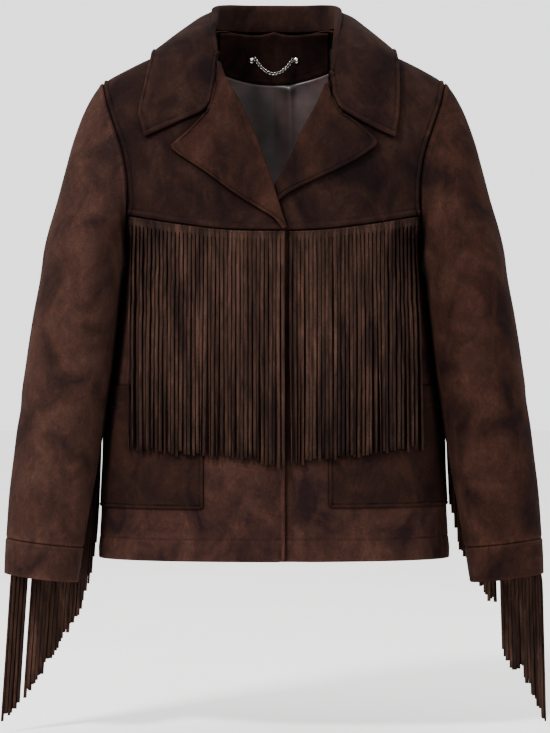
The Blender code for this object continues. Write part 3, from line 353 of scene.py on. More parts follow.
# Split cowhide, sanded on the flesh side: matt, a soft pale nap at grazing angles, brushed in patches
def suede(name, look):
    made, tree, shader = newMaterial(name, {
        "IOR": 1.5, "Specular IOR Level": 0.03, "Sheen Weight": look["sheen"], "Sheen Roughness": 0.42,
        "Sheen Tint": hexColour(look["sheenTint"]),
    })
    place = addNode(tree, "ShaderNodeTexCoord").outputs["Object"]
    drawn = addNode(tree, "ShaderNodeMapping", values={"Scale": look["stretch"]},
                    links={"Vector": place}).outputs[0]
    patches = addNode(tree, "ShaderNodeTexNoise", values={
        "Scale": 1 / (look["patch"] * mm), "Detail": 4.0, "Roughness": 0.55, "Distortion": 0.6,
    }, links={"Vector": drawn}).outputs["Fac"]
    brushed = addNode(tree, "ShaderNodeTexNoise", values={
        "Scale": 1 / (look["brush"] * mm), "Detail": 5.0, "Roughness": 0.6, "Distortion": 0.9,
    }, links={"Vector": drawn}).outputs["Fac"]
    fibre = addNode(tree, "ShaderNodeTexNoise", values={
        "Scale": 1 / (look["fibre"] * mm), "Detail": 3.0, "Roughness": 0.7,
    }, links={"Vector": place}).outputs["Fac"]  # real fibres are finer than shows
    broad = addNode(tree, "ShaderNodeValToRGB", links={"Fac": patches}, stops=[
        (0.34, look["cool"]), (0.5, look["mid"]), (0.66, look["warm"])]).outputs["Color"]
    worn = addNode(tree, "ShaderNodeValToRGB", links={"Fac": brushed}, stops=[
        (0.3, look["deep"]), (0.52, "#808080"), (0.74, look["rubbed"])]).outputs["Color"]
    colour = addNode(tree, "ShaderNodeMix", overlay, {0: look["contrast"]}, {6: broad, 7: worn}).outputs[2]
    grain = addNode(tree, "ShaderNodeValToRGB", links={"Fac": fibre},
                    stops=[(0.3, "#606060"), (0.7, "#a4a4a4")]).outputs["Color"]
    colour = addNode(tree, "ShaderNodeMix", overlay, {0: 0.8}, {6: colour, 7: grain}).outputs[2]
    # painted shade: the suede's colour darkens in crevices, in seams, between strands and under collar and
    # lapels
    shut = addNode(tree, "ShaderNodeAmbientOcclusion", {"samples": 6}, {"Distance": look["crevice"] * mm})
    paintedCreviceShade = addNode(tree, "ShaderNodeValToRGB", links={"Fac": shut.outputs["AO"]}, stops=[
        (0.25, "#1a1514"), (0.62, "#958b87"), (0.95, "#ffffff")]).outputs["Color"]
    colour = addNode(tree, "ShaderNodeMix", multiply, {0: 1.0}, {6: colour, 7: paintedCreviceShade}).outputs[2]
    ridged = addNode(tree, "ShaderNodeNewGeometry").outputs["Pointiness"]
    grooveShadeAndRidgeWear = addNode(tree, "ShaderNodeValToRGB", links={"Fac": ridged}, stops=[
        (0.44, "#868686"), (0.5, "#aaaaaa"), (0.56, "#cec8c4")]).outputs["Color"]  # painted shade in grooves; paler ridges are partly edge wear, partly painted highlight
    colour = addNode(tree, "ShaderNodeMix", overlay, {0: look["worn"]}, {6: colour, 7: grooveShadeAndRidgeWear}).outputs[2]
    tree.links.new(colour, shader.inputs["Base Color"])
    rough = addNode(tree, "ShaderNodeMapRange", values={
        "From Min": 0.3, "From Max": 0.7, "To Min": 0.82, "To Max": 0.97,
    }, links={"Value": brushed}).outputs[0]
    tree.links.new(rough, shader.inputs["Roughness"])
    nap = addNode(tree, "ShaderNodeBump", values={"Strength": 0.55, "Distance": 0.25 * mm},
                  links={"Height": fibre}).outputs[0]
    pile = addNode(tree, "ShaderNodeBump", values={"Strength": 0.4, "Distance": 0.8 * mm},
                   links={"Height": brushed, "Normal": nap}).outputs[0]
    tree.links.new(pile, shader.inputs["Normal"])
    return made


suedeLook = {  # patch, brush, fibre and crevice in mm
    "stretch": (1.0, 1.0, 0.7), "patch": 42.0, "brush": 8.0, "fibre": 1.4, "contrast": 0.5, "crevice": 14.0,
    # worn sets the pointiness mark: painted shade in grooves, ridges paler from wear and painted highlight
    "worn": 0.9, "cool": "#271819", "mid": "#402923", "warm": "#4d332b", "deep": "#484848",
    "rubbed": "#b8b0aa", "sheen": 0.012, "sheenTint": "#a07868",
}
bodySuede = suede("brown_split_suede", suedeLook)
# darker copy for yokes, collar and neck facing: partly the suede's tone, partly painted shade where these parts
# face up and into the neck
yokeSuede = suede("brown_split_suede_dark",
                  {**suedeLook, "cool": "#1a0f10", "mid": "#281815", "warm": "#35221d"})
pocketSuede = suede("brown_split_suede_cool",
                    {**suedeLook, "cool": "#1e1212", "mid": "#2b1a16", "warm": "#38221b"})
# a lit and a shaded copy: the right sleeve's suede is lighter as painted light, the left sleeve's darker as
# painted shade, as from a light on the wearer's right
rightSleeveSuede = suede("brown_split_suede_light",
                         {**suedeLook, "cool": "#2e1e1c", "mid": "#402a24", "warm": "#4b332b"})
leftSleeveSuede = suede("brown_split_suede_mid",
                        {**suedeLook, "cool": "#211312", "mid": "#341f19", "warm": "#422a22"})
fringeSuede = suede("brown_split_suede_cut", {
    **suedeLook, "stretch": (1.0, 1.0, 0.12), "patch": 16.0, "brush": 4.6, "contrast": 0.9, "worn": 0.25,
    "cool": "#2d1f1d", "mid": "#433029", "warm": "#533c33",
})


def satin(name, look):  # polyester satin: long floats in one direction, a smooth broad gloss
    made, tree, shader = newMaterial(name, {"Roughness": 0.42, "IOR": 1.5, "Specular IOR Level": 0.3})
    place = addNode(tree, "ShaderNodeTexCoord").outputs["Object"]
    shade = addNode(tree, "ShaderNodeTexNoise", values={"Scale": 1 / (look["patch"] * mm), "Detail": 2.0},
                    links={"Vector": place}).outputs["Fac"]
    colour = addNode(tree, "ShaderNodeValToRGB", links={"Fac": shade},
                     stops=[(0.35, look["dark"]), (0.65, look["light"])]).outputs["Color"]
    # painted shade: the satin darkens in its folds and under the neck facing's lower edge
    shut = addNode(tree, "ShaderNodeAmbientOcclusion", {"samples": 6}, {"Distance": look["crevice"] * mm})
    paintedSatinShade = addNode(tree, "ShaderNodeValToRGB", links={"Fac": shut.outputs["AO"]},
                     stops=[(0.3, "#1c1817"), (0.9, "#ffffff")]).outputs["Color"]
    colour = addNode(tree, "ShaderNodeMix", multiply, {0: 1.0}, {6: colour, 7: paintedSatinShade}).outputs[2]
    tree.links.new(colour, shader.inputs["Base Color"])
    floats = addNode(tree, "ShaderNodeTexWave", {"wave_type": "BANDS", "bands_direction": "Z"}, {
        "Scale": 1 / (look["thread"] * mm) / 6.283, "Distortion": 0.4, "Detail": 1.0,
    }, {"Vector": place}).outputs["Fac"]  # real floats are finer than shows
    weave = addNode(tree, "ShaderNodeBump", values={"Strength": 0.12, "Distance": 0.05 * mm},
                    links={"Height": floats}).outputs[0]
    tree.links.new(weave, shader.inputs["Normal"])
    return made


liningSatin = satin("grey_brown_satin",
                    {"dark": "#1e1615", "light": "#3a2c2b", "patch": 34.0, "thread": 0.9, "crevice": 16.0})


def plated(name, look):  # nickel-plated steel, tumbled smooth: bright, with faint rubbing marks
    made, tree, shader = newMaterial(name, {"Metallic": 1.0})
    place = addNode(tree, "ShaderNodeTexCoord").outputs["Object"]
    marks = addNode(tree, "ShaderNodeTexNoise", values={"Scale": 1 / (look["marks"] * mm), "Detail": 4.0},
                    links={"Vector": place}).outputs["Fac"]
    metal = addNode(tree, "ShaderNodeValToRGB", links={"Fac": marks},
                    stops=[(0.3, look["dull"]), (0.7, look["bright"])]).outputs["Color"]
    shut = addNode(tree, "ShaderNodeAmbientOcclusion", {"samples": 6}, {"Distance": look["crevice"] * mm})
    paintedLinkShade = addNode(tree, "ShaderNodeValToRGB", links={"Fac": shut.outputs["AO"]},
                      stops=[(0.35, "#241f1c"), (0.8, "#ffffff")]).outputs["Color"]  # painted shade between the links
    metal = addNode(tree, "ShaderNodeMix", multiply, {0: 1.0}, {6: metal, 7: paintedLinkShade}).outputs[2]
    tree.links.new(metal, shader.inputs["Base Color"])
    rough = addNode(tree, "ShaderNodeMapRange", values={"To Min": 0.14, "To Max": 0.3},
                    links={"Value": marks}).outputs[0]
    tree.links.new(rough, shader.inputs["Roughness"])
    return made


chainSteel = plated("nickel_plated_steel",
                    {"dull": "#b4b2ae", "bright": "#dcdad6", "marks": 1.6, "crevice": 1.6})


def thread(name, look):  # bonded polyester thread: tightly twisted, slightly shiny
    made, tree, shader = newMaterial(name, {"Roughness": 0.8, "IOR": 1.5, "Specular IOR Level": 0.12})
    place = addNode(tree, "ShaderNodeTexCoord").outputs["Object"]
    twist = addNode(tree, "ShaderNodeTexNoise", values={"Scale": 1 / (look["twist"] * mm), "Detail": 2.0},
                    links={"Vector": place}).outputs["Fac"]
    colour = addNode(tree, "ShaderNodeValToRGB", links={"Fac": twist},
                     stops=[(0.35, look["dark"]), (0.65, look["light"])]).outputs["Color"]
    tree.links.new(colour, shader.inputs["Base Color"])
    plies = addNode(tree, "ShaderNodeBump", values={"Strength": 0.3, "Distance": 0.1 * mm},
                    links={"Height": twist}).outputs[0]
    tree.links.new(plies, shader.inputs["Normal"])
    return made


seamThread = thread("brown_polyester_thread", {"dark": "#140b09", "light": "#20120d", "twist": 0.4})
print("finishes ready")


def distances(grid):  # from each side of a grid, in mm along its rows and columns
    down = np.linalg.norm(np.diff(grid, axis=0), axis=-1)
    across = np.linalg.norm(np.diff(grid, axis=1), axis=-1)
    low = np.concatenate([np.zeros((1, grid.shape[1])), np.cumsum(down, 0)])
    left = np.concatenate([np.zeros((grid.shape[0], 1)), np.cumsum(across, 1)], 1)
    return {"low": low, "high": low[-1] - low, "left": left, "right": left[:, -1:] - left}


# How an edge is finished: drop and softness of its rounding, and the distances of its stitched rows
edges = {
    "seam": {"drop": 0.9, "soft": 1.2, "rows": []},
    "seamStitched": {"drop": 1.0, "soft": 1.3, "rows": [2.3, 8.2], "puff": 1.0},
    "seamDouble": {"drop": 1.2, "soft": 1.5, "rows": [7.0], "puff": 1.2},
    "turned": {"drop": 1.0, "soft": 1.3, "rows": [6.3], "puff": 1.15},
    "rolled": {"drop": 1.3, "soft": 1.7, "rows": [6.4], "puff": 1.4},
    "hemmed": {"drop": 0.6, "soft": 1.0, "rows": [26.0], "puff": 0.5},
    "patched": {"drop": 0.6, "soft": 1.0, "rows": [4.2], "puff": 0.7},
    "raw": {"drop": 0.15, "soft": 0.5, "rows": []},
}
groove = {"deep": 0.7, "wide": 0.95, "pitch": 3.2, "pinch": 0.3, "pucker": 0.5}  # pulled in by the stitches


def edgeLift(kind, far, along):
    look = edges[kind]
    lift = -look["drop"] * bump(far, look["soft"])
    for row in look["rows"]:
        pull = 1 + groove["pinch"] * np.sin(along * 2 * math.pi / groove["pitch"])
        pull = pull + groove["pucker"] * np.sin(along / 4.7) * np.sin(along / 11.3)
        lift = lift - groove["deep"] * pull * bump(far - row, groove["wide"])
    if look["rows"]:  # the suede swells between two rows, or between one row and the edge
        last = look["rows"][-1]
        middle, wide = last * 0.52, last * 0.33
        if len(look["rows"]) > 1:
            middle, wide = sum(look["rows"][-2:]) / 2, 1.6
        swell = 1 + 0.35 * np.sin(along / 6.3 + np.sin(along / 17)) * np.sin(along / 9.1 + 1)
        lift = lift + look["puff"] * swell * bump(far - middle, wide)
    return lift


def crowded(count, low=0.0, high=1.0, crowding=0.62):  # steps that are finer towards both ends
    t = np.linspace(0, 1, count)
    return low + (high - low) * (t - crowding * np.sin(2 * math.pi * t) / (2 * math.pi))


def cornerRise(u, v, wide, corner):  # a lower corner rounded off
    return corner * (1 - np.sqrt(1 - (1 - np.minimum(u * wide / corner, 1)) ** 2)) * (1 - v) ** 20


def trimmed(grid, gap=leather["seamGap"]):
    grid = grid.copy()
    for lines in (grid, grid.swapaxes(0, 1)):
        for edge, inner in ((0, 1), (-1, -2)):
            lines[edge] += unit(lines[inner] - lines[edge]) * gap
    return grid


def gridNormals(grid, away):
    normal = unit(np.cross(np.gradient(grid, axis=1), np.gradient(grid, axis=0)))
    return normal * np.where((normal * away).sum(-1, keepdims=True) < 0, -1, 1)


def newPiece(name, points, faces, finishes, body="jacket", faceSlots=None):
    mesh = bpy.data.meshes.new(name)
    mesh.from_pydata((np.asarray(points) * mm).tolist(), [], faces)
    for finish in finishes:
        mesh.materials.append(finish)
    if faceSlots is not None:
        mesh.polygons.foreach_set("material_index", faceSlots)
    mesh.shade_smooth()
    made = bpy.data.objects.new(name, mesh)
    bpy.context.scene.collection.objects.link(made)
    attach(made, body)
    return made


def wallFaces(rows, columns, ring=False):  # a grid of points, the same grid again as its back, a rim between
    index = np.arange(rows * columns).reshape(rows, columns)
    if ring:
        index = np.concatenate([index, index[:, :1]], 1)
    quads = np.stack([index[:-1, :-1], index[:-1, 1:], index[1:, 1:], index[1:, :-1]], -1).reshape(-1, 4)
    border = [index[0], index[-1, ::-1]] + ([] if ring else [index[::-1, 0], index[:, -1]])
    ends = np.concatenate([np.stack([line[:-1], line[1:]], -1) for line in border])
    skip = rows * columns
    return np.concatenate([quads, skip + quads[:, ::-1], np.concatenate([ends[:, ::-1], ends + skip], 1)])


# A wall of suede: the grid with its hang and its finished edges outside, a plain face inside, a rim between
def panel(name, grid, normals, fall, finish, sides, thick=leather["thick"], ring=False, inside=None, bare=0):
    rows, columns = grid.shape[:2]
    far = distances(grid)
    lift = np.zeros((rows, columns))
    for side, kind in sides.items():
        lift += edgeLift(kind, far[side], far["left" if side in ("low", "high") else "low"])
    outer = grid + normals * (fall + lift)[..., None]
    inner = grid + normals * (fall - thick)[..., None]
    faces = wallFaces(rows, columns, ring)
    spans = columns if ring else columns - 1
    count = (rows - 1) * spans
    middle = faces[count // 2]
    flat = outer.reshape(-1, 3)
    facing = np.cross(flat[middle[1]] - flat[middle[0]], flat[middle[3]] - flat[middle[0]])
    if facing @ normals.reshape(-1, 3)[middle[0]] < 0:
        faces = faces[:, ::-1]
    slots = np.zeros(len(faces), dtype=np.int32)
    slots[count : 2 * count - bare * spans] = 1 if inside else 0  # bare: top rows with no lining on them
    made = newPiece(name, np.concatenate([flat, inner.reshape(-1, 3)]), faces.tolist(),
                    [finish, inside] if inside else [finish], faceSlots=slots)
    return made, outer


def rowLine(outer, normals, side, inset, clip=None):  # the line on a panel at a distance in from one side
    turned = side in ("left", "right")
    lines = (outer, normals, distances(outer)[side])
    points, ways, reach = (a.swapaxes(0, 1) if turned else a for a in lines)
    if side in ("high", "right"):
        points, ways, reach = points[::-1], ways[::-1], reach[::-1]
    line, out = [], []
    for c in range(points.shape[1]):
        place = float(np.interp(inset, reach[:, c], np.arange(len(reach))))
        low = min(int(place), len(reach) - 2)
        part = place - low
        line.append(points[low, c] * (1 - part) + points[low + 1, c] * part)
        out.append(ways[low, c] * (1 - part) + ways[low + 1, c] * part)
    line, out = np.array(line), np.array(out)
    if clip:
        long = lengthAlong(line)
        keep = (long >= clip[0]) & (long <= long[-1] - clip[1])
        line, out = line[keep], out[keep]
    return line, unit(out)


def joinStrands(strands, points, faces):  # closed tubes, each through its rings of points
    total = sum(len(p) for p in points)
    for rings in strands:
        count, corners = rings.shape[:2]
        points.append(rings.reshape(-1, 3))
        index = total + np.arange(count * corners).reshape(count, corners)
        beside = np.roll(index, -1, 1)
        faces += np.stack([index[:-1], beside[:-1], beside[1:], index[1:]], -1).reshape(-1, 4).tolist()
        faces += [index[0, ::-1].tolist(), index[-1].tolist()]
        total += count * corners


def circle(corners, across, up):  # round a centre, one ring for each pair of directions
    turn = 2 * math.pi * np.arange(corners)[:, None] / corners
    return np.cos(turn) * across[..., None, :] + np.sin(turn) * up[..., None, :]


stitchLook = {
    "pitch": 3.0, "long": 2.2, "thick": 0.56, "proud": -0.02, "corners": 5,
    "rings": ((-0.5, 0.45, -0.32), (-0.27, 1.0, 0.0), (0.27, 1.0, 0.0), (0.5, 0.45, -0.32)),
}
stitchRows = {}


def sew(group, line, out):  # keeps a row of stitches for the mesh of its group
    stitchRows.setdefault(group, []).append((line, out))


def makeStitches(group):
    look = stitchLook
    points, faces = [], []
    for line, out in stitchRows[group]:
        long = lengthAlong(line)
        count = int(long[-1] / look["pitch"])
        if count < 2:
            continue
        at = (np.arange(count) + 0.5) * long[-1] / count
        ahead = unit(pick(line, long, at + 0.6) - pick(line, long, at - 0.6))
        beside = unit(np.cross(unit(pick(out, long, at)), ahead))
        way = np.cross(ahead, beside)
        centre = pick(line, long, at)
        rings = []
        for place, girth, sink in look["rings"]:
            ring = centre + ahead * place * look["long"] + way * (look["proud"] + sink)
            rings.append(ring[:, None] + look["thick"] / 2 * girth * circle(look["corners"], beside, way))
        joinStrands(np.stack(rings, 1), points, faces)
    made = newPiece(f"stitches_{group}", np.concatenate(points), faces, [seamThread])


def finishPanel(node):
    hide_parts(node)


yokeCut = {"flat": (0.215, 0.262), "area": 0.0400, "rows": 96, "columns": 84, "between": (40.0, 190.0)}


def makeYoke(side):
    v = crowded(yokeCut["rows"])[:, None]
    u = crowded(yokeCut["columns"])[None, :]
    inner, outer = (np.full_like(v, guess) for guess in yokeCut["between"])
    for _ in range(30):  # settles on the roll line and the armhole
        seam = turnAt(inner, smooth(yokeLine, "x", "z", np.abs(inner)))
        inner = 0.5 * (inner + innerEdge(side, over(inner, seam + (90 - seam) * v)[..., 2]))
        seam = turnAt(outer, smooth(yokeLine, "x", "z", outer))
        rise = np.sin(np.radians(seam + (90 - seam) * v)) ** (2 / crown)
        outer = 0.5 * (outer + smooth(armholeLine, "rise", "front", rise))
    x = inner + (outer - inner) * u
    seam = turnAt(x, smooth(yokeLine, "x", "z", np.abs(x)))
    turn = seam + (90 - seam) * v
    grid = over(x, turn)
    normals = facingOut(over, x, turn, grid * (0.1, 0.3, 0) + (0, -10, 10))
    grid = grid + normals * (layerLift(side, x) + yokeStep(x, grid[..., 2]))[..., None]
    grid, normals = trimmed(grid * (side, 1, 1)), normals * (side, 1, 1)
    made, face = panel(f"yoke_{sideNames[side]}_suede", grid, normals, bodyFall(grid), yokeSuede,
                       {"low": "seamStitched", "right": "seamDouble", "high": "seam"})
    finishPanel(f"yoke_{sideNames[side]}")
    for inset in edges["seamStitched"]["rows"]:
        sew("yokes", *rowLine(face, normals, "low", inset, (4, 9)))
    for inset in edges["seamDouble"]["rows"]:
        sew("armholes", *rowLine(face, normals, "right", inset, (2, 2)))


frontCut = {"flat": (0.262, 0.408), "area": 0.1033, "rows": 150, "columns": 96, "wide": 190.0,
            "tuck": 3.5, "tuckDeep": 2.1, "hemCorner": {-1: 4.0, 1: 1.5}}


def makeFront(side):
    v = crowded(frontCut["rows"])[:, None]
    u = crowded(frontCut["columns"])[None, :]
    rise = np.linspace(0.12, 0, 9)  # the armhole's foot
    reach = smooth(armholeLine, "rise", "front", rise)
    seamAngle = np.degrees(np.arcsin((reach / smooth(chest, "rise", "half", rise)) ** (square / 2)))
    armholeZ = armpit + rise * (shoulderHeight(reach) - armpit)

    def level(angle):
        across = np.abs(np.sin(np.radians(angle))) ** (2 / square) * frontCut["wide"]
        top = np.minimum(smooth(yokeLine, "x", "z", across), np.interp(angle, seamAngle, armholeZ))
        return top, hem + (top + frontCut["tuck"] - hem) * v

    angle = np.zeros((frontCut["rows"], frontCut["columns"]))
    for _ in range(6):
        _, z = level(angle)
        start = -angleAt(frontLayer["overlap"] - 1, z)
        angle = start + (90 - start) * u
    top, z = level(angle)
    tucked = ease((z - top + 0.4) / 1.2)  # the allowance goes up behind the yoke
    z = z + cornerRise(u, v, frontCut["wide"], frontCut["hemCorner"][side])
    grid, normals = wrapped(angle, z, (0, -20, 0))
    grid = grid + normals * (layerLift(side, grid[..., 0]) - frontCut["tuckDeep"] * tucked)[..., None]
    grid, normals = trimmed(grid * (side, 1, 1)), normals * (side, 1, 1)
    made, face = panel(f"front_{sideNames[side]}_suede", grid, normals, bodyFall(grid), bodySuede,
                       {"low": "hemmed", "left": "turned", "right": "seam"}, inside=liningSatin)
    finishPanel(f"front_{sideNames[side]}")
    sew("hem", *rowLine(face, normals, "low", edges["hemmed"]["rows"][0], (7, 1)))
    sew("front_edges", *rowLine(face, normals, "left", edges["turned"]["rows"][0], (2, 2)))


backCut = {"flat": (0.500, 0.675), "area": 0.2850, "rows": 190, "columns": 150, "below": 76, "half": 180.0,
           "bare": 30}


def makeBack():
    u = crowded(backCut["columns"], -1, 1)[None, :]
    v = np.linspace(0, 1, backCut["below"])[:, None]  # rows below the armpits
    lower, lowerOut = wrapped(180 - 90 * u, hem + (armpit - hem) * v, (0, 0, 0))
    v = np.linspace(0, 1, backCut["rows"] - backCut["below"] + 1)[1:, None] ** 0.9
    spread = np.sign(u) * np.abs(np.sin(np.radians(90 * u))) ** (2 / square)
    x = spread * backCut["half"]
    for _ in range(20):  # settles on the armholes
        top = neckTurn(x)
        rise = np.sin(np.radians(top * v)) ** (2 / crown)
        mix = spread + (u - spread) * ease(v * 2)
        x = 0.5 * (x + mix * smooth(armholeLine, "rise", "back", rise))
    turn = 180 - top * v
    upper = over(x, turn)
    upperOut = facingOut(over, x, turn, upper * (1, 1, 0) + (0, 20, 20))
    grid, normals = trimmed(np.concatenate([lower, upper])), np.concatenate([lowerOut, upperOut])
    made, face = panel("back_suede", grid, normals, bodyFall(grid), bodySuede,
                       {"low": "hemmed", "left": "seam", "right": "seam", "high": "seam"},
                       inside=liningSatin, bare=backCut["bare"])
    finishPanel("back")
    sew("hem", *rowLine(face, normals, "low", edges["hemmed"]["rows"][0], (1, 1)))


# Sleeve: level sections below the armpit, leaning out, and a cap that curves in to the armhole
sleeveForm = table(
    "z x y wide deep",
    (-640, 275, -51, 43.5, 39), (-606, 272, -48, 45.5, 41), (-560, 266.5, -45, 48, 44),
    (-506, 258.8, -41, 50, 48), (-457, 252.2, -38, 50.9, 52), (-413, 246.4, -37, 51.5, 56),
    (-350, 237.8, -35, 51, 60), (-286, 229.3, -34, 48.5, 62), (-262, 227.8, -29, 48.2, 63),
)
sleeveCut = {
    "top": -262.0, "cuffSeam": -597.0, "cuffEdge": -638.0, "tilt": 7.1, "girth": 300.0, "gap": 0.15,
    "forearmSeam": 0.02, "seamStart": -150.0, "rim": 0.4, "capRoll": {"high": 0.9, "at": 3.6, "wide": 2.2},
    "tuck": ((-3.2, 2.6), (-1.4, 2.4), (0.1, 1.7), (0.4, 0.7)),  # inwards and deep, row by row
    "rows": (56, 115), "topColumns": 92, "underColumns": 44, "cuffRows": 22, "cuffColumns": 136,
    "cuffStitches": (2.4, 4.9), "cuffLift": 0.3, "topFlat": (0.270, 0.600), "topArea": 0.1370,
    "underFlat": (0.135, 0.480), "underArea": 0.0228, "cuffFlat": (0.284, 0.042),
}
hindarmSeam = table(
    "z at",
    (-640, 0.535), (-622, 0.62), (-600, 0.69), (-566, 0.748), (-529, 0.799), (-499, 0.842),
    (-472, 0.865), (-442, 0.881), (-382, 0.885), (-262, 0.87), (-150, 0.80),
)


def armhole(at):
    rise = (1 - np.cos(2 * math.pi * at)) / 2
    ahead = np.mod(at, 1) <= 0.5
    x = np.where(ahead, smooth(armholeLine, "rise", "front", rise), smooth(armholeLine, "rise", "back", rise))
    turn = np.degrees(np.arcsin(rise ** (crown / 2)))
    turn = np.where(ahead, turn, 180 - turn)
    point = over(x, turn)
    inward = np.minimum(x, smooth(chest, "rise", "half", rise) - 1.5)
    normal = facingOut(over, inward, turn, point * (1, 1, 0) + (0, 0, 10))
    under = np.exp(-rise / 0.02)[..., None]  # straight out at the armhole's foot
    return point, unit(normal * (1 - under) + np.array([1.0, 0, 0]) * under)


def armholeRim(at):
    point, normal = armhole(at)
    inside = unit(np.cross(normal, armhole(at + 0.004)[0] - armhole(at - 0.004)[0]))
    middle = np.array([190.0, 0, -140])
    inside = inside * np.where((inside * (middle - point)).sum(-1, keepdims=True) < 0, -1, 1)
    return point + (inside + normal) * sleeveCut["rim"]


def tuckedUnder(at):  # the sleeve's seam allowance, turned in under the body's edge, with its normals
    point, normal = armhole(at)
    inside = unit(armholeRim(at) - sleeveCut["rim"] * normal - point)
    rows = [point + inside * off - normal * deep for off, deep in sleeveCut["tuck"]]
    return np.concatenate(rows), np.concatenate([normal] * len(rows))


def sleeve(at, down):  # down runs 0 to 1 through the cap, then 1 to 2 to the cuff's edge
    at, down = np.broadcast_arrays(at, down)
    turn = 2 * math.pi * at
    level = sleeveCut["top"] + (np.maximum(down, 1) - 1) * (sleeveCut["cuffEdge"] - sleeveCut["top"])
    read = {name: smooth(sleeveForm, "z", name, level) for name in ("x", "y", "wide", "deep")}
    tilt = math.radians(sleeveCut["tilt"])
    out = -np.cos(turn) * read["wide"]
    tube = np.stack([read["x"] + out * math.cos(tilt), read["y"] - np.sin(turn) * read["deep"],
                     level + out * math.sin(tilt)], -1)
    rim = armholeRim(at)
    high = (1 - np.cos(turn)) / 2
    sink = 0.5 + 0.45 * (2 * high - 1) ** 2
    leave = unit(np.stack([1 - 0.95 * (1 - high) ** 3, -0.15 * np.sin(turn), -sink], -1))  # from the armhole
    arrive = unit(np.stack(np.broadcast_arrays(0.13, -0.1, -0.985 + 0 * turn), -1))
    reach = np.linalg.norm(tube - rim, axis=-1, keepdims=True)
    t = np.minimum(down, 1)[..., None]
    cap = ((2 * t**3 - 3 * t**2 + 1) * rim + (t**3 - 2 * t**2 + t) * leave * reach * 0.5
           + (3 * t**2 - 2 * t**3) * tube + (t**3 - t**2) * arrive * reach)
    return np.where((down < 1)[..., None], cap, tube)


def sleeveOut(at, down):
    across = sleeve(at + 0.004, down) - sleeve(at - 0.004, down)
    along = sleeve(at, down + 0.01) - sleeve(at, np.maximum(down - 0.01, 0))
    return unit(np.cross(along, across))


def downAt(z):
    return 1 + (z - sleeveCut["top"]) / (sleeveCut["cuffEdge"] - sleeveCut["top"])


def seamAt(down):
    top, edge = sleeveCut["top"], sleeveCut["cuffEdge"]
    start = sleeveCut["seamStart"]
    z = np.where(down < 1, start + (top - start) * down, top + (down - 1) * (edge - top))
    return smooth(hindarmSeam, "z", "at", z)


def makeSleeve(side):
    capRows, tubeRows = sleeveCut["rows"]
    tube = downAt(np.linspace(sleeveCut["top"], sleeveCut["cuffSeam"], tubeRows + 1)[1:])
    down = np.concatenate([np.linspace(0, 1, capRows) ** 1.15, tube])[:, None]
    seam = seamAt(down)
    flip = np.array([side, 1, 1])
    # the right sleeve takes the lit copy of the suede, the left the shaded copy
    fore, finish = sleeveCut["forearmSeam"], rightSleeveSuede if side < 0 else leftSleeveSuede
    roll = sleeveCut["capRoll"]
    for part, first, last in (("top", fore + 0 * seam, seam), ("under", seam, 1 + fore + 0 * seam)):
        at = first + (last - first) * crowded(sleeveCut[part + "Columns"])[None, :]
        grid, normals = sleeve(at, down), sleeveOut(at, down)
        fall = sleeveFall(side, at, grid) * ease(down / 0.25)
        long = distances(grid)
        swell = 1 + 0.4 * np.sin(long["left"] / 5.1 + 1.0) * np.sin(long["left"] / 8.7)
        swell = roll["high"] * swell * bump(long["low"] - roll["at"], roll["wide"])
        fall = fall + swell * ease(long["low"] / 1.5)
        under, underOut = tuckedUnder(at[:1])
        grid, normals = np.concatenate([under, grid]), np.concatenate([underOut, normals])
        fall = np.concatenate([np.zeros(under.shape[:2]), fall])
        grid, normals = trimmed(grid * flip, sleeveCut["gap"]), normals * flip
        made, _ = panel(f"{part}_sleeve_{sideNames[side]}_suede", grid, normals, fall, finish,
                        {"high": "seam", "left": "seam", "right": "seam"}, inside=liningSatin)
        finishPanel(f"{part}_sleeve_{sideNames[side]}")
    at = np.arange(sleeveCut["cuffColumns"])[None, :] / sleeveCut["cuffColumns"]
    down = np.linspace(sleeveCut["cuffSeam"] - 0.1, sleeveCut["cuffEdge"], sleeveCut["cuffRows"])
    down = downAt(down)[:, None]
    grid, normals = sleeve(at, down), sleeveOut(at, down)
    fall = sleeveFall(side, at + 0 * down, grid) + sleeveCut["cuffLift"]
    made, face = panel(f"cuff_{sideNames[side]}_suede", grid * flip, normals * flip, fall, finish,
                       {"low": "seam", "high": "raw"},
                       thick=leather["cuffThick"], ring=True, inside=liningSatin)
    finishPanel(f"cuff_{sideNames[side]}")
    for inset in sleeveCut["cuffStitches"]:
        line, out = rowLine(face, normals * flip, "low", inset)
        sew("cuffs", np.concatenate([line, line[:1]]), np.concatenate([out, out[:1]]))


pocketCut = {
    "inner": {-1: 82.0, 1: 63.5}, "top": -412.0, "bottom": {-1: -556.0, 1: -554.0}, "side": 88.0,
    "wide": 150.0, "tall": 144.0, "corner": 3.5, "mouth": 1.2, "mouthTall": 9.0, "lift": 0.6, "thick": 1.2,
    "flat": {-1: (0.172, 0.146), 1: (0.189, 0.146)}, "area": {-1: 0.0244, 1: 0.0267},
    "rows": 66, "columns": 74,
}


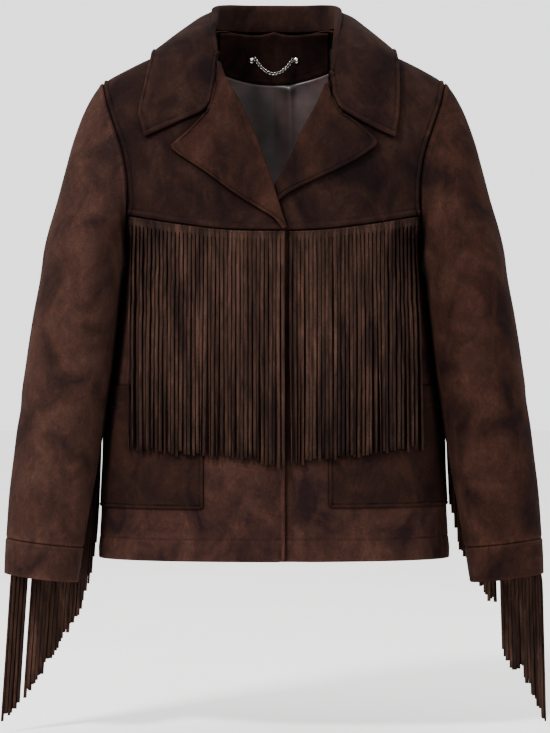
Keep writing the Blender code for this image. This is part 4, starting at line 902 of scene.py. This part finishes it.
def makePocket(side):
    top, bottom = pocketCut["top"], pocketCut["bottom"][side]
    u = crowded(pocketCut["columns"])[None, :]
    v = crowded(pocketCut["rows"])[:, None]
    z = bottom + (top - bottom) * v + cornerRise(u, v, pocketCut["wide"], pocketCut["corner"])
    first = angleAt(pocketCut["inner"][side], z)
    grid, normals = wrapped(first + (pocketCut["side"] - first) * u, z, (0, -20, 0))
    grid = (grid + normals * (pocketCut["thick"] + pocketCut["lift"])) * (side, 1, 1)
    normals = normals * (side, 1, 1)
    mouth = pocketCut["mouth"] * bump((v - 1) * pocketCut["tall"], pocketCut["mouthTall"])
    mouth = mouth * np.sin(math.pi * u)  # the open top stands off a little
    made, face = panel(f"pocket_{sideNames[side]}_suede", grid, normals, bodyFall(grid) + mouth, pocketSuede,
                       {"low": "patched", "left": "patched", "high": "hemmed"}, thick=pocketCut["thick"])
    finishPanel(f"pocket_{sideNames[side]}")
    for name, kind in (("low", "patched"), ("left", "patched"), ("high", "hemmed")):
        sew("pockets", *rowLine(face, normals, name, edges[kind]["rows"][0], (4, 1)))


lapelCut = {
    -1: table(
        "z edgeX edgeZ",
        (-229, -10, -229.5), (-221, 0, -217), (-210, 17.4, -206), (-195, 48.7, -186), (-182, 80, -162.5),
        (-167, 106, -145), (-151, 116, -137.5), (-136, 119, -132.5), (-124, 115.5, -128.5),
        (-97, 100.8, -116), (-75, 84, -99.5), (-58, 76.5, -92), (-46, 71.5, -83), (-34, 66, -61),
    ),
    1: table(
        "z edgeX edgeZ",
        (-210, -9, -209.5), (-202, 1, -200.5), (-190, 13, -190), (-177, 27, -182), (-163, 58, -167.5),
        (-150, 90.7, -151), (-139, 112, -137), (-128, 118.5, -131), (-118, 119, -125.5), (-108, 114, -120.5),
        (-92, 95.6, -105), (-78, 81, -96), (-69, 74, -90), (-60, 66.8, -79),
    ),
    # the left lapel takes the darker pocket suede as painted shade
    "finish": {-1: leftSleeveSuede, 1: pocketSuede}, "root": 0.85, "gap": 1.6, "curl": 2.6, "finer": (10, 9),
    "flat": {-1: (0.135, 0.215), 1: (0.125, 0.170)}, "area": {-1: 0.0114, 1: 0.0084},
}


def finerRows(grid, times):
    at = np.linspace(0, len(grid) - 1, (len(grid) - 1) * times + 1)
    flat = grid.reshape(len(grid), -1)
    columns = {"row": np.arange(len(grid), dtype=float), **dict(enumerate(flat.T))}
    new = np.stack([smooth(columns, "row", i, at) for i in range(flat.shape[1])], -1)
    return new.reshape(len(at), *grid.shape[1:])


def finer(grid, rows, columns):  # a coarse grid on smooth curves, that many times finer each way
    return finerRows(finerRows(grid, rows).swapaxes(0, 1), columns).swapaxes(0, 1)


def makeLapel(side):
    columns = lapelCut[side]
    z = columns["z"][:, None]
    radius = rollRadius(side, z)
    half = leather["thick"] / 2
    root = innerEdge(side, z) - lapelCut["root"]
    base, normal = laid(root, z)
    above = laid(innerEdge(side, z + 1), z + 1)[0] - laid(innerEdge(side, z - 1), z - 1)[0]
    beyond = unit(np.cross(above, normal))
    beyond = beyond * np.where(beyond[..., :1] > 0, -1, 1)
    base = base + normal * (layerLift(side, root) + yokeStep(root, z))[..., None]
    bend = np.radians(np.array([0, 45, 90, 135]))[None, :, None]
    centre = base + normal * (radius[..., None] - half)
    rolled = centre + radius[..., None] * (np.sin(bend) * beyond - np.cos(bend) * normal)
    t = np.array([0.0, 0.12, 0.3, 0.5, 0.75, 1.0])[None, :]
    x = root + (columns["edgeX"][:, None] - root) * t
    level = z + (columns["edgeZ"][:, None] - z) * t
    rest, gap = 2 * radius - half, lapelCut["gap"] + half
    lift = rest + (gap - rest) * ease(t * 1.6) + lapelCut["curl"] * t**2
    flat, _ = laid(x, level, lift + layerLift(side, x) + yokeStep(x, level))
    middle = finer(np.concatenate([rolled, flat], 1), *lapelCut["finer"])
    out = np.concatenate([np.repeat(beyond, rolled.shape[1], 1), np.repeat(normal, flat.shape[1], 1)], 1)
    normals = gridNormals(middle, finer(out, *lapelCut["finer"]))
    flip = np.array([side, 1, 1])
    grid, normals = (middle + normals * half) * flip, normals * flip
    made, face = panel(f"lapel_{sideNames[side]}_suede", grid, normals, bodyFall(grid),
                       lapelCut["finish"][side], {"right": "rolled", "high": "seam"})
    finishPanel(f"lapel_{sideNames[side]}")
    sew("lapels", *rowLine(face, normals, "right", edges["turned"]["rows"][0], (4, 8)))


collarCut = {
    "back": table(
        "footX footY footZ foldX foldY foldZ edgeX edgeY edgeZ roll",
        (0, 63, 19.5, 0, 61, 51, 0, 91, -28, 5), (28, 59, 18.5, 32, 57.5, 50.5, 47, 89, -28.5, 5),
        (51, 42, 17.7, 58, 43, 49, 96, 70, -26, 5), (66, 23, 16.9, 71, 23, 44.7, 140, 28, -15, 4.5),
        (71, 4, 15.8, 71.5, 2, 34, 146, -5, -13.5, 4), (72.5, -22, 11.5, 71, -25, 21, 148, -39, -27, 3.5),
    ),
    "out": {-1: (0, 0, 0, 0, 0, 0), 1: (0, 0, 3, 6, 7.5, 7)},
    "front": {
        -1: table("footZ foldZ foldLift edgeX edgeZ edgeLift roll",
                  (-6, 4, 8, 151, -63, 4, 3), (-17, -8, 7, 157, -92, 3, 2.6)),
        1: table("footZ foldZ foldLift edgeX edgeZ edgeLift roll",
                 (-15, -4, 8, 146, -60, 4, 3), (-38, -28, 7, 145, -92, 3, 2.6)),
    },
    "end": {
        -1: table("x z", (65.5, -27), (67, -52), (76.5, -86), (111, -104), (150, -121)),
        1: table("x z", (66.5, -51), (68, -74), (78, -90), (112, -109), (141, -122)),
    },
    "path": (0.22, 0.42, 0.62, 0.82, 1.0), "bulge": 2.5, "arch": 10.0, "footIn": 1.5, "footLift": 0.8,
    "pointLift": 3.0, "endFold": 4.5, "endLift": (3.4, 2.8, 3.2, 4.2, 5.2), "endRoll": 2.0, "endStart": 0.35,
    "finer": (10, 12), "fall": 0.7, "flat": (0.600, 0.170), "area": 0.0633,
}


def station(foot, fold, path, roll):  # one section of the collar: stand, roll and fall
    up = unit(fold - foot)
    out = path[0] - fold
    out = unit(out - up * (out * up).sum())
    bend = np.radians(np.array([180, 120, 60, 0]))[:, None]
    turned = fold - up * roll + roll * (np.cos(bend) * out + np.sin(bend) * up)
    return np.concatenate([[foot, foot + (turned[0] - foot) * 0.5], turned, path])


def collarHalf(side):
    stations, t = [], np.array(collarCut["path"])
    rows = collarCut["back"]
    for i in range(len(rows["roll"])):
        foot, fold, edge = (np.array([rows[part + axis][i] for axis in "XYZ"])
                            for part in ("foot", "fold", "edge"))
        fold = fold + (collarCut["out"][side][i], 0, 0)
        level = edge - fold
        bulge = unit(np.array([level[0], level[1], 60.0])) * collarCut["bulge"]
        path = fold + level * t[:, None] + bulge * (4 * t * (1 - t))[:, None]
        stations.append(station(foot, fold, path, rows["roll"][i]))
    rows = collarCut["front"][side]
    for i in range(len(rows["roll"])):
        neck = smooth(rollLine[side], "z", "x", rows["footZ"][i]) + collarCut["footIn"]
        foot = laid(neck, rows["footZ"][i], collarCut["footLift"])[0]
        x = smooth(rollLine[side], "z", "x", rows["foldZ"][i])
        fold = laid(x, rows["foldZ"][i], rows["foldLift"][i])[0]
        across = x + (rows["edgeX"][i] - x) * t
        level = rows["foldZ"][i] + (rows["edgeZ"][i] - rows["foldZ"][i]) * t
        lift = rows["foldLift"][i] + (rows["edgeLift"][i] - rows["foldLift"][i]) * t
        lift = lift + collarCut["arch"] * t * (1 - t) * (i < 1)
        lift = lift + collarCut["pointLift"] * t**2  # the collar's points stand a little off the yokes
        stations.append(station(foot, fold, laid(across, level, lift)[0], rows["roll"][i]))
    end = collarCut["end"][side]
    foot = laid(end["x"][0], end["z"][0], collarCut["footLift"])[0]
    fold = laid(end["x"][0], end["z"][0], collarCut["footLift"] + collarCut["endFold"])[0]
    path = laid(end["x"], end["z"], np.array(collarCut["endLift"]))[0]
    path[0] = path[0] + (path[1] - path[0]) * collarCut["endStart"]
    last = station(foot, fold, path, collarCut["endRoll"])
    stations += [(stations[-1] + last) / 2, last]
    return np.array(stations) * (side, 1, 1)


def makeCollar():
    right, left = collarHalf(-1), collarHalf(1)
    middle = finer(np.concatenate([right[::-1], left[1:]]), *collarCut["finer"])
    normals = unit(np.cross(np.gradient(middle, axis=1), np.gradient(middle, axis=0)))
    if normals[len(middle) // 2, -1, 1] < 0:
        normals = -normals
    grid = middle + normals * leather["collarThick"] / 2
    made, face = panel("collar_suede", grid, normals, unevenness(grid) * collarCut["fall"], yokeSuede,
                       {"right": "rolled", "low": "rolled", "high": "rolled"}, thick=leather["collarThick"])
    finishPanel("collar")
    inset = edges["turned"]["rows"][0]
    sew("collar", *rowLine(face, normals, "right", inset, (inset, inset)))
    for name in ("low", "high"):
        sew("collar", *rowLine(face, normals, name, inset, (30, inset)))


neckCut = {
    "gap": 2.7, "low": -42.0, "curve": 14.0, "wide": 68.3, "over": 2.0, "sides": 2.8, "fall": 0.5,
    "stitches": 1.9, "rows": 28, "columns": 56, "flat": (0.150, 0.066), "area": 0.0086,
}
liningCut = {
    "wide": 96.0, "low": -330.0, "gap": 1.9, "under": 0.4, "sink": 0.3, "rows": 110, "columns": 86,
    "pleat": {"high": 2.6, "at": 20.0, "wide": 5.0, "long": 60.0},  # the small gather at the seam
    "ripples": {"high": 1.5, "at": 16.0, "wide": 34.0, "long": 70.0}, "folds": 1.3,
    "flat": (0.200, 0.305), "area": 0.0535,
}


def makeNeck():
    u = np.linspace(-1, 1, neckCut["columns"])[None, :]
    v = np.linspace(0, 1, neckCut["rows"])[:, None]
    x = u * neckCut["wide"]
    top = neckTurn(x) + neckCut["over"] - neckCut["sides"] * u**4
    low = 180 - turnAt(x, neckCut["low"] + neckCut["curve"] * u**2, True)
    turn = 180 - (low + (top - low) * v)
    outer = over(x, turn)
    normals = facingOut(over, x, turn, outer * (1, 1, 0) + (0, 20, 20))
    depth = 2 * leather["thick"] + neckCut["gap"]
    fall = -unevenness(outer) * neckCut["fall"] * ease((1 - v) * 3)
    made, face = panel("neck_facing_suede", outer - normals * depth, -normals, fall, yokeSuede,
                       {"low": "seamStitched", "high": "seam"})
    finishPanel("neck_facing")
    sew("neck", *rowLine(face, -normals, "low", neckCut["stitches"], (2, 2)))


def makeLining():
    u = np.linspace(-1, 1, liningCut["columns"])[None, :]
    v = np.linspace(0, 1, liningCut["rows"])[:, None]
    x = u * (liningCut["wide"] + (neckCut["wide"] - liningCut["wide"]) * ease((v - 0.55) / 0.45))
    seam = neckCut["low"] + neckCut["curve"] * np.minimum(np.abs(x) / neckCut["wide"], 1) ** 2
    z = liningCut["low"] + (seam - liningCut["under"] - liningCut["low"]) * v
    gap = neckCut["gap"] + (liningCut["gap"] - neckCut["gap"]) * ease((0.7 - v) / 0.4)
    outer, normals = laid(x, z, -(leather["thick"] + leather["lining"] + gap), behind=True)
    drop = seam - z
    pleat, ripples = (
        look["high"] * bump(x - look["at"], look["wide"]) * np.exp(-drop / look["long"])
        for look in (liningCut["pleat"], liningCut["ripples"])
    )
    ripples = ripples * np.sin(x / 9.5 + 0.25 * np.sin(z / 31))
    folds = liningCut["folds"] * (1 + np.sin(x / 13 + z / 37 + 1.1 + 0.8 * np.sin(z / 29))) * ease(drop / 40)
    fall = np.maximum(pleat + ripples + folds, -liningCut["sink"]) * ease(drop / 5)
    made, _ = panel("back_lining_satin", outer, -normals, fall, liningSatin, {}, thick=leather["lining"])
    finishPanel("back_lining")


print("panels ready")


# Fringe: a narrow sewn strip, and strands cut from its lower edge
fringeCut = {
    "strip": 1.4, "high": 10.0, "lift": 0.9, "chestWide": 4.1, "sleeveWide": 4.6, "cuts": 2, "thick": 1.1,
    "sections": 26, "seam": 0.8, "over": 8.2, "clear": 0.4, "belly": 2.8, "bellyLong": 170.0,
    "lastDrift": 5.0, "layers": (0.35, 1.1), "chestTwists": (0, 0, 6, -8, 12, -14, 24, -28, 40, 62, -75),
    "sleeveTwists": (0, 0, 6, -6, 12, -14, 28), "sleeveLift": 3.2, "sleeveLayers": (-0.6, 0.9),
    "sleeveClear": 3.0, "bodyClear": 5.0,
    "chest": {-1: (-12.3, 170.0, 39), 1: (17.5, 169.0, 33)},
    "chestEnds": {-1: table("x z", (-12.3, -508), (5, -503), (86, -493), (172, -485)),
                  1: table("x z", (15, -502), (95, -493), (172, -485))},
    "chestFlat": {-1: (0.183, 0.296), 1: (0.153, 0.290)}, "chestArea": {-1: 0.0494, 1: 0.0419},
    "runs": {-1: table("start end strands", (-300, -462, 8), (-462, -600, 15), (-607, -627, 4)),
             1: table("start end strands", (-300, -462, 8), (-462, -565, 10), (-575, -634, 12))},
    "sleeveEnds": {-1: table("z end", (-640, -833), (-600, -786), (-300, -482)),
                   1: table("z end", (-640, -832), (-634, -824), (-620, -790), (-605, -750), (-590, -752),
                            (-575, -722), (-565, -676), (-540, -659), (-524, -640), (-491, -603),
                            (-466, -562), (-300, -440))},
    "slant": {-1: 0.066, 1: 0.028}, "sleeveFlat": {-1: (0.345, 0.192), 1: (0.345, 0.180)},
    "sleeveArea": {-1: 0.0556, 1: 0.0465},
}


def ribbon(centres, across, through, wide, thick):  # corners of a flat strand, rounded, ring by ring
    shape = np.array([(-0.5, 0.28), (-0.5, -0.28), (-0.4, -0.5), (0.4, -0.5),
                      (0.5, -0.28), (0.5, 0.28), (0.4, 0.5), (-0.4, 0.5)])
    return (centres[:, None] + shape[None, :, :1] * wide[:, None, None] * across[:, None]
            + shape[None, :, 1:] * thick * through[:, None])


def stripWall(near, far):  # points and faces of a closed strip between two grids of points
    return [far.reshape(-1, 3), near.reshape(-1, 3)], wallFaces(*near.shape[:2]).tolist()


def outward(made):  # turns every closed part of a piece the right way out
    work = bmesh.new()
    work.from_mesh(made.data)
    bmesh.ops.recalc_face_normals(work, faces=work.faces)
    work.to_mesh(made.data)
    work.free()
    made.data.shade_smooth()


def makeFringe(node, side, points, faces, strands):
    joinStrands(strands, points, faces)
    made = newPiece(f"{node}_cut", np.concatenate(points) * (side, 1, 1), faces, [fringeSuede])
    outward(made)
    finishPanel(node)


def makeChestFringe(side):
    first, last, count = fringeCut["chest"][side]
    rng = random.Random(11 + side)
    wide, high, strip = fringeCut["chestWide"], fringeCut["high"], fringeCut["strip"]
    pitch = (last - first) / count
    x = np.linspace(first, last, 160)[None, :]
    top = smooth(yokeLine, "x", "z", np.abs(x)) - fringeCut["seam"]
    down = np.linspace(0, 1, 6)[:, None]
    near, out = laid(x, top - high * down, fringeCut["lift"] + layerLift(side, x))
    fall = bodyFall(near * (side, 1, 1))[..., None]
    rounding = 0.3 * bump((1 - down) * high, 0.9)[..., None]
    points, faces = stripWall(near + out * fall, near + out * (fall + strip - rounding))
    strands = []
    share = np.linspace(0, 1, fringeCut["sections"]) ** 1.15
    for i in range(count):
        middle = first + pitch * (i + 0.5)
        start = float(smooth(yokeLine, "x", "z", abs(middle))) - fringeCut["seam"] - high
        end = float(smooth(fringeCut["chestEnds"][side], "x", "z", middle)) + rng.uniform(-4, 4)
        twist = rng.choice(fringeCut["chestTwists"]) + rng.uniform(-7, 7)
        begins = rng.uniform(0.0, 0.35)
        drift = rng.uniform(-0.5, 0.5) + 1.1 * math.sin(i * 1.31 + side) * math.sin(i * 0.47 + 1)
        sway, phase, curl = rng.uniform(-0.5, 0.5), rng.uniform(0, 6.3), rng.uniform(-0.6, 0.9)
        if side == 1 and i == count - 1:  # the last strand swings out to the arm
            drift = fringeCut["lastDrift"]
        z = start + fringeCut["over"] + (end - start - fringeCut["over"]) * share  # from up over the strip
        hang = ease((share - begins) / (1 - begins))
        turn = np.radians(twist * hang + 4 * np.sin(share * 5 + phase))
        place = middle + drift * share**1.3 + sway * np.sin(share * 4.5 + phase) * ease(share * 4)
        lift = fringeCut["lift"] + strip / 2 + fringeCut["clear"] * ease((z - start + 3) / 4)
        lift = lift + fringeCut["belly"] * ease((start - z) / fringeCut["bellyLong"]) + curl * share**2 * 1.6
        lift = lift + np.abs(np.sin(turn)) * wide / 2 + layerLift(side, place)
        lift = lift + fringeCut["layers"][i % 2] * ease(share * 6)
        centre, normal = laid(place, z, lift)
        centre = centre + normal * bodyFall(centre * (side, 1, 1), 0.8)[:, None]
        flat = unit(normal * (1, 1, 0))
        across = unit(np.cross(flat, np.array([0.0, 0, 1])))
        across = across * np.where(across[:, :1] > 0, 1, -1)
        turned = across * np.cos(turn)[:, None] + flat * np.sin(turn)[:, None]
        through = flat * np.cos(turn)[:, None] - across * np.sin(turn)[:, None]
        narrow = wide - 0.1 - 0.2 * share + 0.15 * np.sin(share * 9 + phase)
        strands.append(ribbon(centre, turned, through, narrow, fringeCut["thick"]))
    makeFringe(f"fringe_chest_{sideNames[side]}", side, points, faces, strands)


def clearOfSleeve(point, gap):  # pushed out of the sleeve, level by level
    x, y, z = point
    if z < sleeveCut["cuffEdge"] - 6:
        return point

    def section(level):
        level = max(level, sleeveCut["cuffEdge"])
        return [float(smooth(sleeveForm, "z", name, level)) for name in ("x", "y", "wide", "deep")]

    read = section(z)
    for _ in range(3):
        read = section(z - (x - read[0]) * math.tan(math.radians(sleeveCut["tilt"])))
    ratio = math.hypot((x - read[0]) / (read[2] + gap), (y - read[1]) / (read[3] + gap))
    if ratio >= 1:
        return point
    return np.array([read[0] + (x - read[0]) / ratio, read[1] + (y - read[1]) / ratio, z])


def clearOfBody(point, gap):
    x, y, z = point
    level = hem if z < hem - 4 else z
    deep = float(smooth(body, "z", "back" if y > 0 else "front", level))
    return np.array([max(x, float(smooth(body, "z", "half", level) * shut(y / deep, square)) + gap), y, z])


def rootMiddles(side):  # heights of the strands' roots, evenly spaced as seen from above in each run
    runs = fringeCut["runs"][side]
    z = np.linspace(runs["start"][0], runs["end"][-1], 400)
    down = downAt(z)
    gone = lengthAlong(sleeve(seamAt(down), down)[:, :2])
    middles = []
    for start, end, count in zip(*runs.values()):
        ends = np.interp([-start, -end], -z, gone)
        marks = np.linspace(*ends, int(count) * fringeCut["cuts"] + 1)
        middles.append(np.interp((marks[1:] + marks[:-1]) / 2, gone, z))
    return np.concatenate(middles)


def makeSleeveFringe(side):
    rng = random.Random(31 + side)
    wide, lift = fringeCut["sleeveWide"], fringeCut["lift"]
    middles = rootMiddles(side)
    half = fringeCut["high"] / 2 / sleeveCut["girth"]
    z = np.linspace(middles[0] + 4, middles[-1] - 4, 180)[None, :]
    shift = np.linspace(-half, half, 6)[:, None]
    down = downAt(z)
    at = seamAt(down) + shift
    base, out = sleeve(at, down + 0 * shift), sleeveOut(at, down + 0 * shift)
    fall = sleeveFall(side, at, base)[..., None]
    points, faces = stripWall(base + out * (fall + lift), base + out * (fall + lift + fringeCut["strip"]))
    strands = []
    share = np.linspace(0, 1, fringeCut["sections"]) ** 1.3
    rootAt = seamAt(downAt(middles)) + half * 0.6
    aways = sleeveOut(rootAt, downAt(middles))
    starts = sleeve(rootAt, downAt(middles)) + aways * (lift + fringeCut["strip"] / 2)
    moves = np.gradient(starts, axis=0) * (1, 1, 0) * fringeCut["cuts"]
    ends = fringeCut["sleeveEnds"][side]
    for i, start in enumerate(starts):
        along = unit(moves[i])
        facing = min(max((float(np.linalg.norm(moves[i])) - 1.75) / 2.85, 0), 1)  # turned where crowded
        aside = np.array([-along[1], along[0], 0.0])
        across = unit(along * facing + aside * math.sqrt(1 - facing**2))
        long = start[2] - float(np.interp(start[2], ends["z"], ends["end"])) + rng.uniform(-6, 5)
        sideways, phase = rng.uniform(-0.35, 0.35), rng.uniform(0, 6.3)
        twist = rng.choice(fringeCut["sleeveTwists"]) + rng.uniform(-4, 4)
        curl = rng.uniform(-0.2, 0.2) + fringeCut["sleeveLayers"][i % 2]
        centres = []
        for s in share:
            place = start + aways[i] * (1, 1, 0) * ((fringeCut["sleeveLift"] + curl) * min(s / 0.07, 1))
            place = place + along * (sideways * s + 0.25 * math.sin(4 * s + phase) * s)
            place = np.array([place[0] + fringeCut["slant"][side] * long * s, place[1], start[2] - long * s])
            place = clearOfSleeve(place, fringeCut["sleeveClear"])
            centres.append(clearOfBody(place, fringeCut["bodyClear"]))
        centres = np.array(centres)
        for _ in range(2):
            centres[1:-1] = (centres[:-2] + 2 * centres[1:-1] + centres[2:]) / 4
        turn = np.radians(twist * ease((share - 0.1) / 0.9))[:, None]
        flat = np.array([across[1], -across[0], 0.0])
        turned = across * np.cos(turn) + flat * np.sin(turn)
        through = flat * np.cos(turn) - across * np.sin(turn)
        narrow = wide - 0.3 + 0.2 * ease(share / 0.1) - 0.25 * share
        strands.append(ribbon(centres, turned, through, narrow, fringeCut["thick"]))
    makeFringe(f"fringe_sleeve_{sideNames[side]}", side, points, faces, strands)


chainLook = {
    "links": 16, "linkLong": 5.6, "linkWide": 3.4, "wire": 0.85, "slant": 32, "lean": 38,
    "corners": 26, "round": 8, "sag": 19.5, "out": 28.5, "high": -11.5, "end": 24.2,
    "rivet": 3.9, "rivetCorners": 28,  # the rivet's radius, then its cap's depths and shares of that radius
    "cap": ((0.35, 0.86), (0.6, 1.0), (1.1, 1.0), (1.7, 0.9), (2.2, 0.72), (2.55, 0.45), (2.7, 0.2)),
}


def makeRivet(name, point, inward):
    beside = unit(np.cross(inward, np.array([0.0, 0, 1])))
    ring = circle(chainLook["rivetCorners"], beside, np.cross(beside, inward))
    rings = [point + inward * deep + chainLook["rivet"] * radius * ring for deep, radius in chainLook["cap"]]
    points, faces = [], []
    joinStrands([np.array(rings)], points, faces)
    made = newPiece(f"chain_rivet_{name}_cap", np.concatenate(points), faces, [chainSteel])
    outward(made)
    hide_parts(f"chain_rivet_{name}")


def makeChain():
    depth = 2 * leather["thick"] + neckCut["gap"]
    for side, name in sideNames.items():
        place, normal = laid(side * chainLook["out"], chainLook["high"], -depth, behind=True)
        makeRivet(name, place, -normal)
    low, high = (np.array(corner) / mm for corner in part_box("hanger_chain"))
    t = np.linspace(-1, 1, 400)
    path = np.stack([t * chainLook["end"], np.full_like(t, (low[1] + high[1]) / 2),
                     chainLook["high"] - chainLook["sag"] * (1 - t**2)], -1)
    long = lengthAlong(path)
    at = (np.arange(chainLook["links"]) + 0.5) * long[-1] / chainLook["links"]
    ahead = unit(pick(path, long, at + 1) - pick(path, long, at - 1))
    towards = np.array([0.0, 1, 0])
    lean, slant = math.radians(chainLook["lean"]), math.radians(chainLook["slant"])
    wire = chainLook["wire"] / 2
    a, b = chainLook["linkLong"] / 2 - wire, chainLook["linkWide"] / 2 - wire
    size = (chainLook["corners"], chainLook["round"])
    points, faces = [], []
    for i, (centre, along) in enumerate(zip(pick(path, long, at), ahead)):
        flat = np.cross(towards, along) * math.cos(lean) + towards * math.sin(lean)  # all lean one way
        across = np.cross(along, flat)
        along, flat = (along * math.cos(slant) + flat * math.sin(slant),
                       flat * math.cos(slant) - along * math.sin(slant))
        loop = centre + circle(size[0], a * along, b * flat)
        away = unit(circle(size[0], b * along, a * flat))
        points.append((loop[:, None] + wire * circle(size[1], away, across)).reshape(-1, 3))
        index = i * size[0] * size[1] + np.arange(size[0] * size[1]).reshape(size)
        corners = (index, np.roll(index, -1, 1), np.roll(index, (-1, -1), (0, 1)), np.roll(index, -1, 0))
        faces += np.stack(corners, -1).reshape(-1, 4).tolist()
    made = newPiece("hanger_chain_links", np.concatenate(points), faces, [chainSteel], body="chain")
    outward(made)
    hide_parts("hanger_chain")


makeBack()
for side in (-1, 1):
    makeYoke(side)
    makeFront(side)
    makeSleeve(side)
    makePocket(side)
    makeLapel(side)
makeCollar()
makeNeck()
makeLining()
print("suede panels and lining made")
for side in (-1, 1):
    makeChestFringe(side)
    makeSleeveFringe(side)
print("fringes made")
makeChain()
for group in stitchRows:
    makeStitches(group)
print("chain and stitches made")


# A pale floor under the jacket, a soft pale room, three large soft lights and the camera
floorLook = {"size": 30.0, "below": 0.02, "colour": "#f1f0ee", "lighter": "#f5f4f3", "mottle": 3.0}
roomLook = {"colour": "#fbfbfb", "strength": 2.2}
lights = {  # place and size in metres, power in watts
    "key": {"place": (-1.5, -2.0, 1.9), "size": 0.5, "power": 190},
    "fill": {"place": (1.9, -2.2, -0.3), "size": 1.6, "power": 16},
    "top": {"place": (0.2, 0.4, 2.0), "size": 1.5, "power": 14},
}
lightAim = (0, 0, -0.35)
eye = {"away": 3.2, "high": -0.3894, "aside": 0.0012, "frame": 0.8796, "sensor": 36.0}


def pale(name, look):  # matt painted board: even, very slightly mottled
    made, tree, shader = newMaterial(name, {"Roughness": 0.85})
    place = addNode(tree, "ShaderNodeTexCoord").outputs["Object"]
    mottle = addNode(tree, "ShaderNodeTexNoise", values={"Scale": look["mottle"], "Detail": 2.0},
                     links={"Vector": place}).outputs["Fac"]
    colour = addNode(tree, "ShaderNodeValToRGB", links={"Fac": mottle},
                     stops=[(0.3, look["colour"]), (0.7, look["lighter"])]).outputs["Color"]
    tree.links.new(colour, shader.inputs["Base Color"])
    return made


half = floorLook["size"] / 2
floorMesh = bpy.data.meshes.new("floor")
corners = [(-half, -half, 0), (half, -half, 0), (half, half, 0), (-half, half, 0)]
floorMesh.from_pydata(corners, [], [(0, 1, 2, 3)])
floorMesh.materials.append(pale("matt_painted_board", floorLook))
floor = bpy.data.objects.new("floor", floorMesh)
floor.location = (0, 0, min(corner[2] for corner in cadBox) - floorLook["below"])
bpy.context.scene.collection.objects.link(floor)

room = bpy.data.worlds.new("soft_room")
room.use_nodes = True
room.node_tree.nodes["Background"].inputs["Color"].default_value = hexColour(roomLook["colour"])
room.node_tree.nodes["Background"].inputs["Strength"].default_value = roomLook["strength"]
bpy.context.scene.world = room

for name, look in lights.items():
    light = bpy.data.lights.new(name, "AREA")
    light.energy, light.size = look["power"], look["size"]
    lamp = bpy.data.objects.new(name, light)
    lamp.location = look["place"]
    lamp.rotation_euler = (Vector(lightAim) - Vector(look["place"])).to_track_quat("-Z", "Y").to_euler()
    bpy.context.scene.collection.objects.link(lamp)

camera = bpy.data.cameras.new("camera")
camera.sensor_width = eye["sensor"]
camera.lens = eye["sensor"] / 2 / (eye["frame"] / 2 / eye["away"])
view = bpy.data.objects.new("camera", camera)
view.location = (eye["aside"], -eye["away"], eye["high"])
view.rotation_euler = (math.pi / 2, 0, 0)
bpy.context.scene.collection.objects.link(view)
bpy.context.scene.camera = view

print("scene ready")
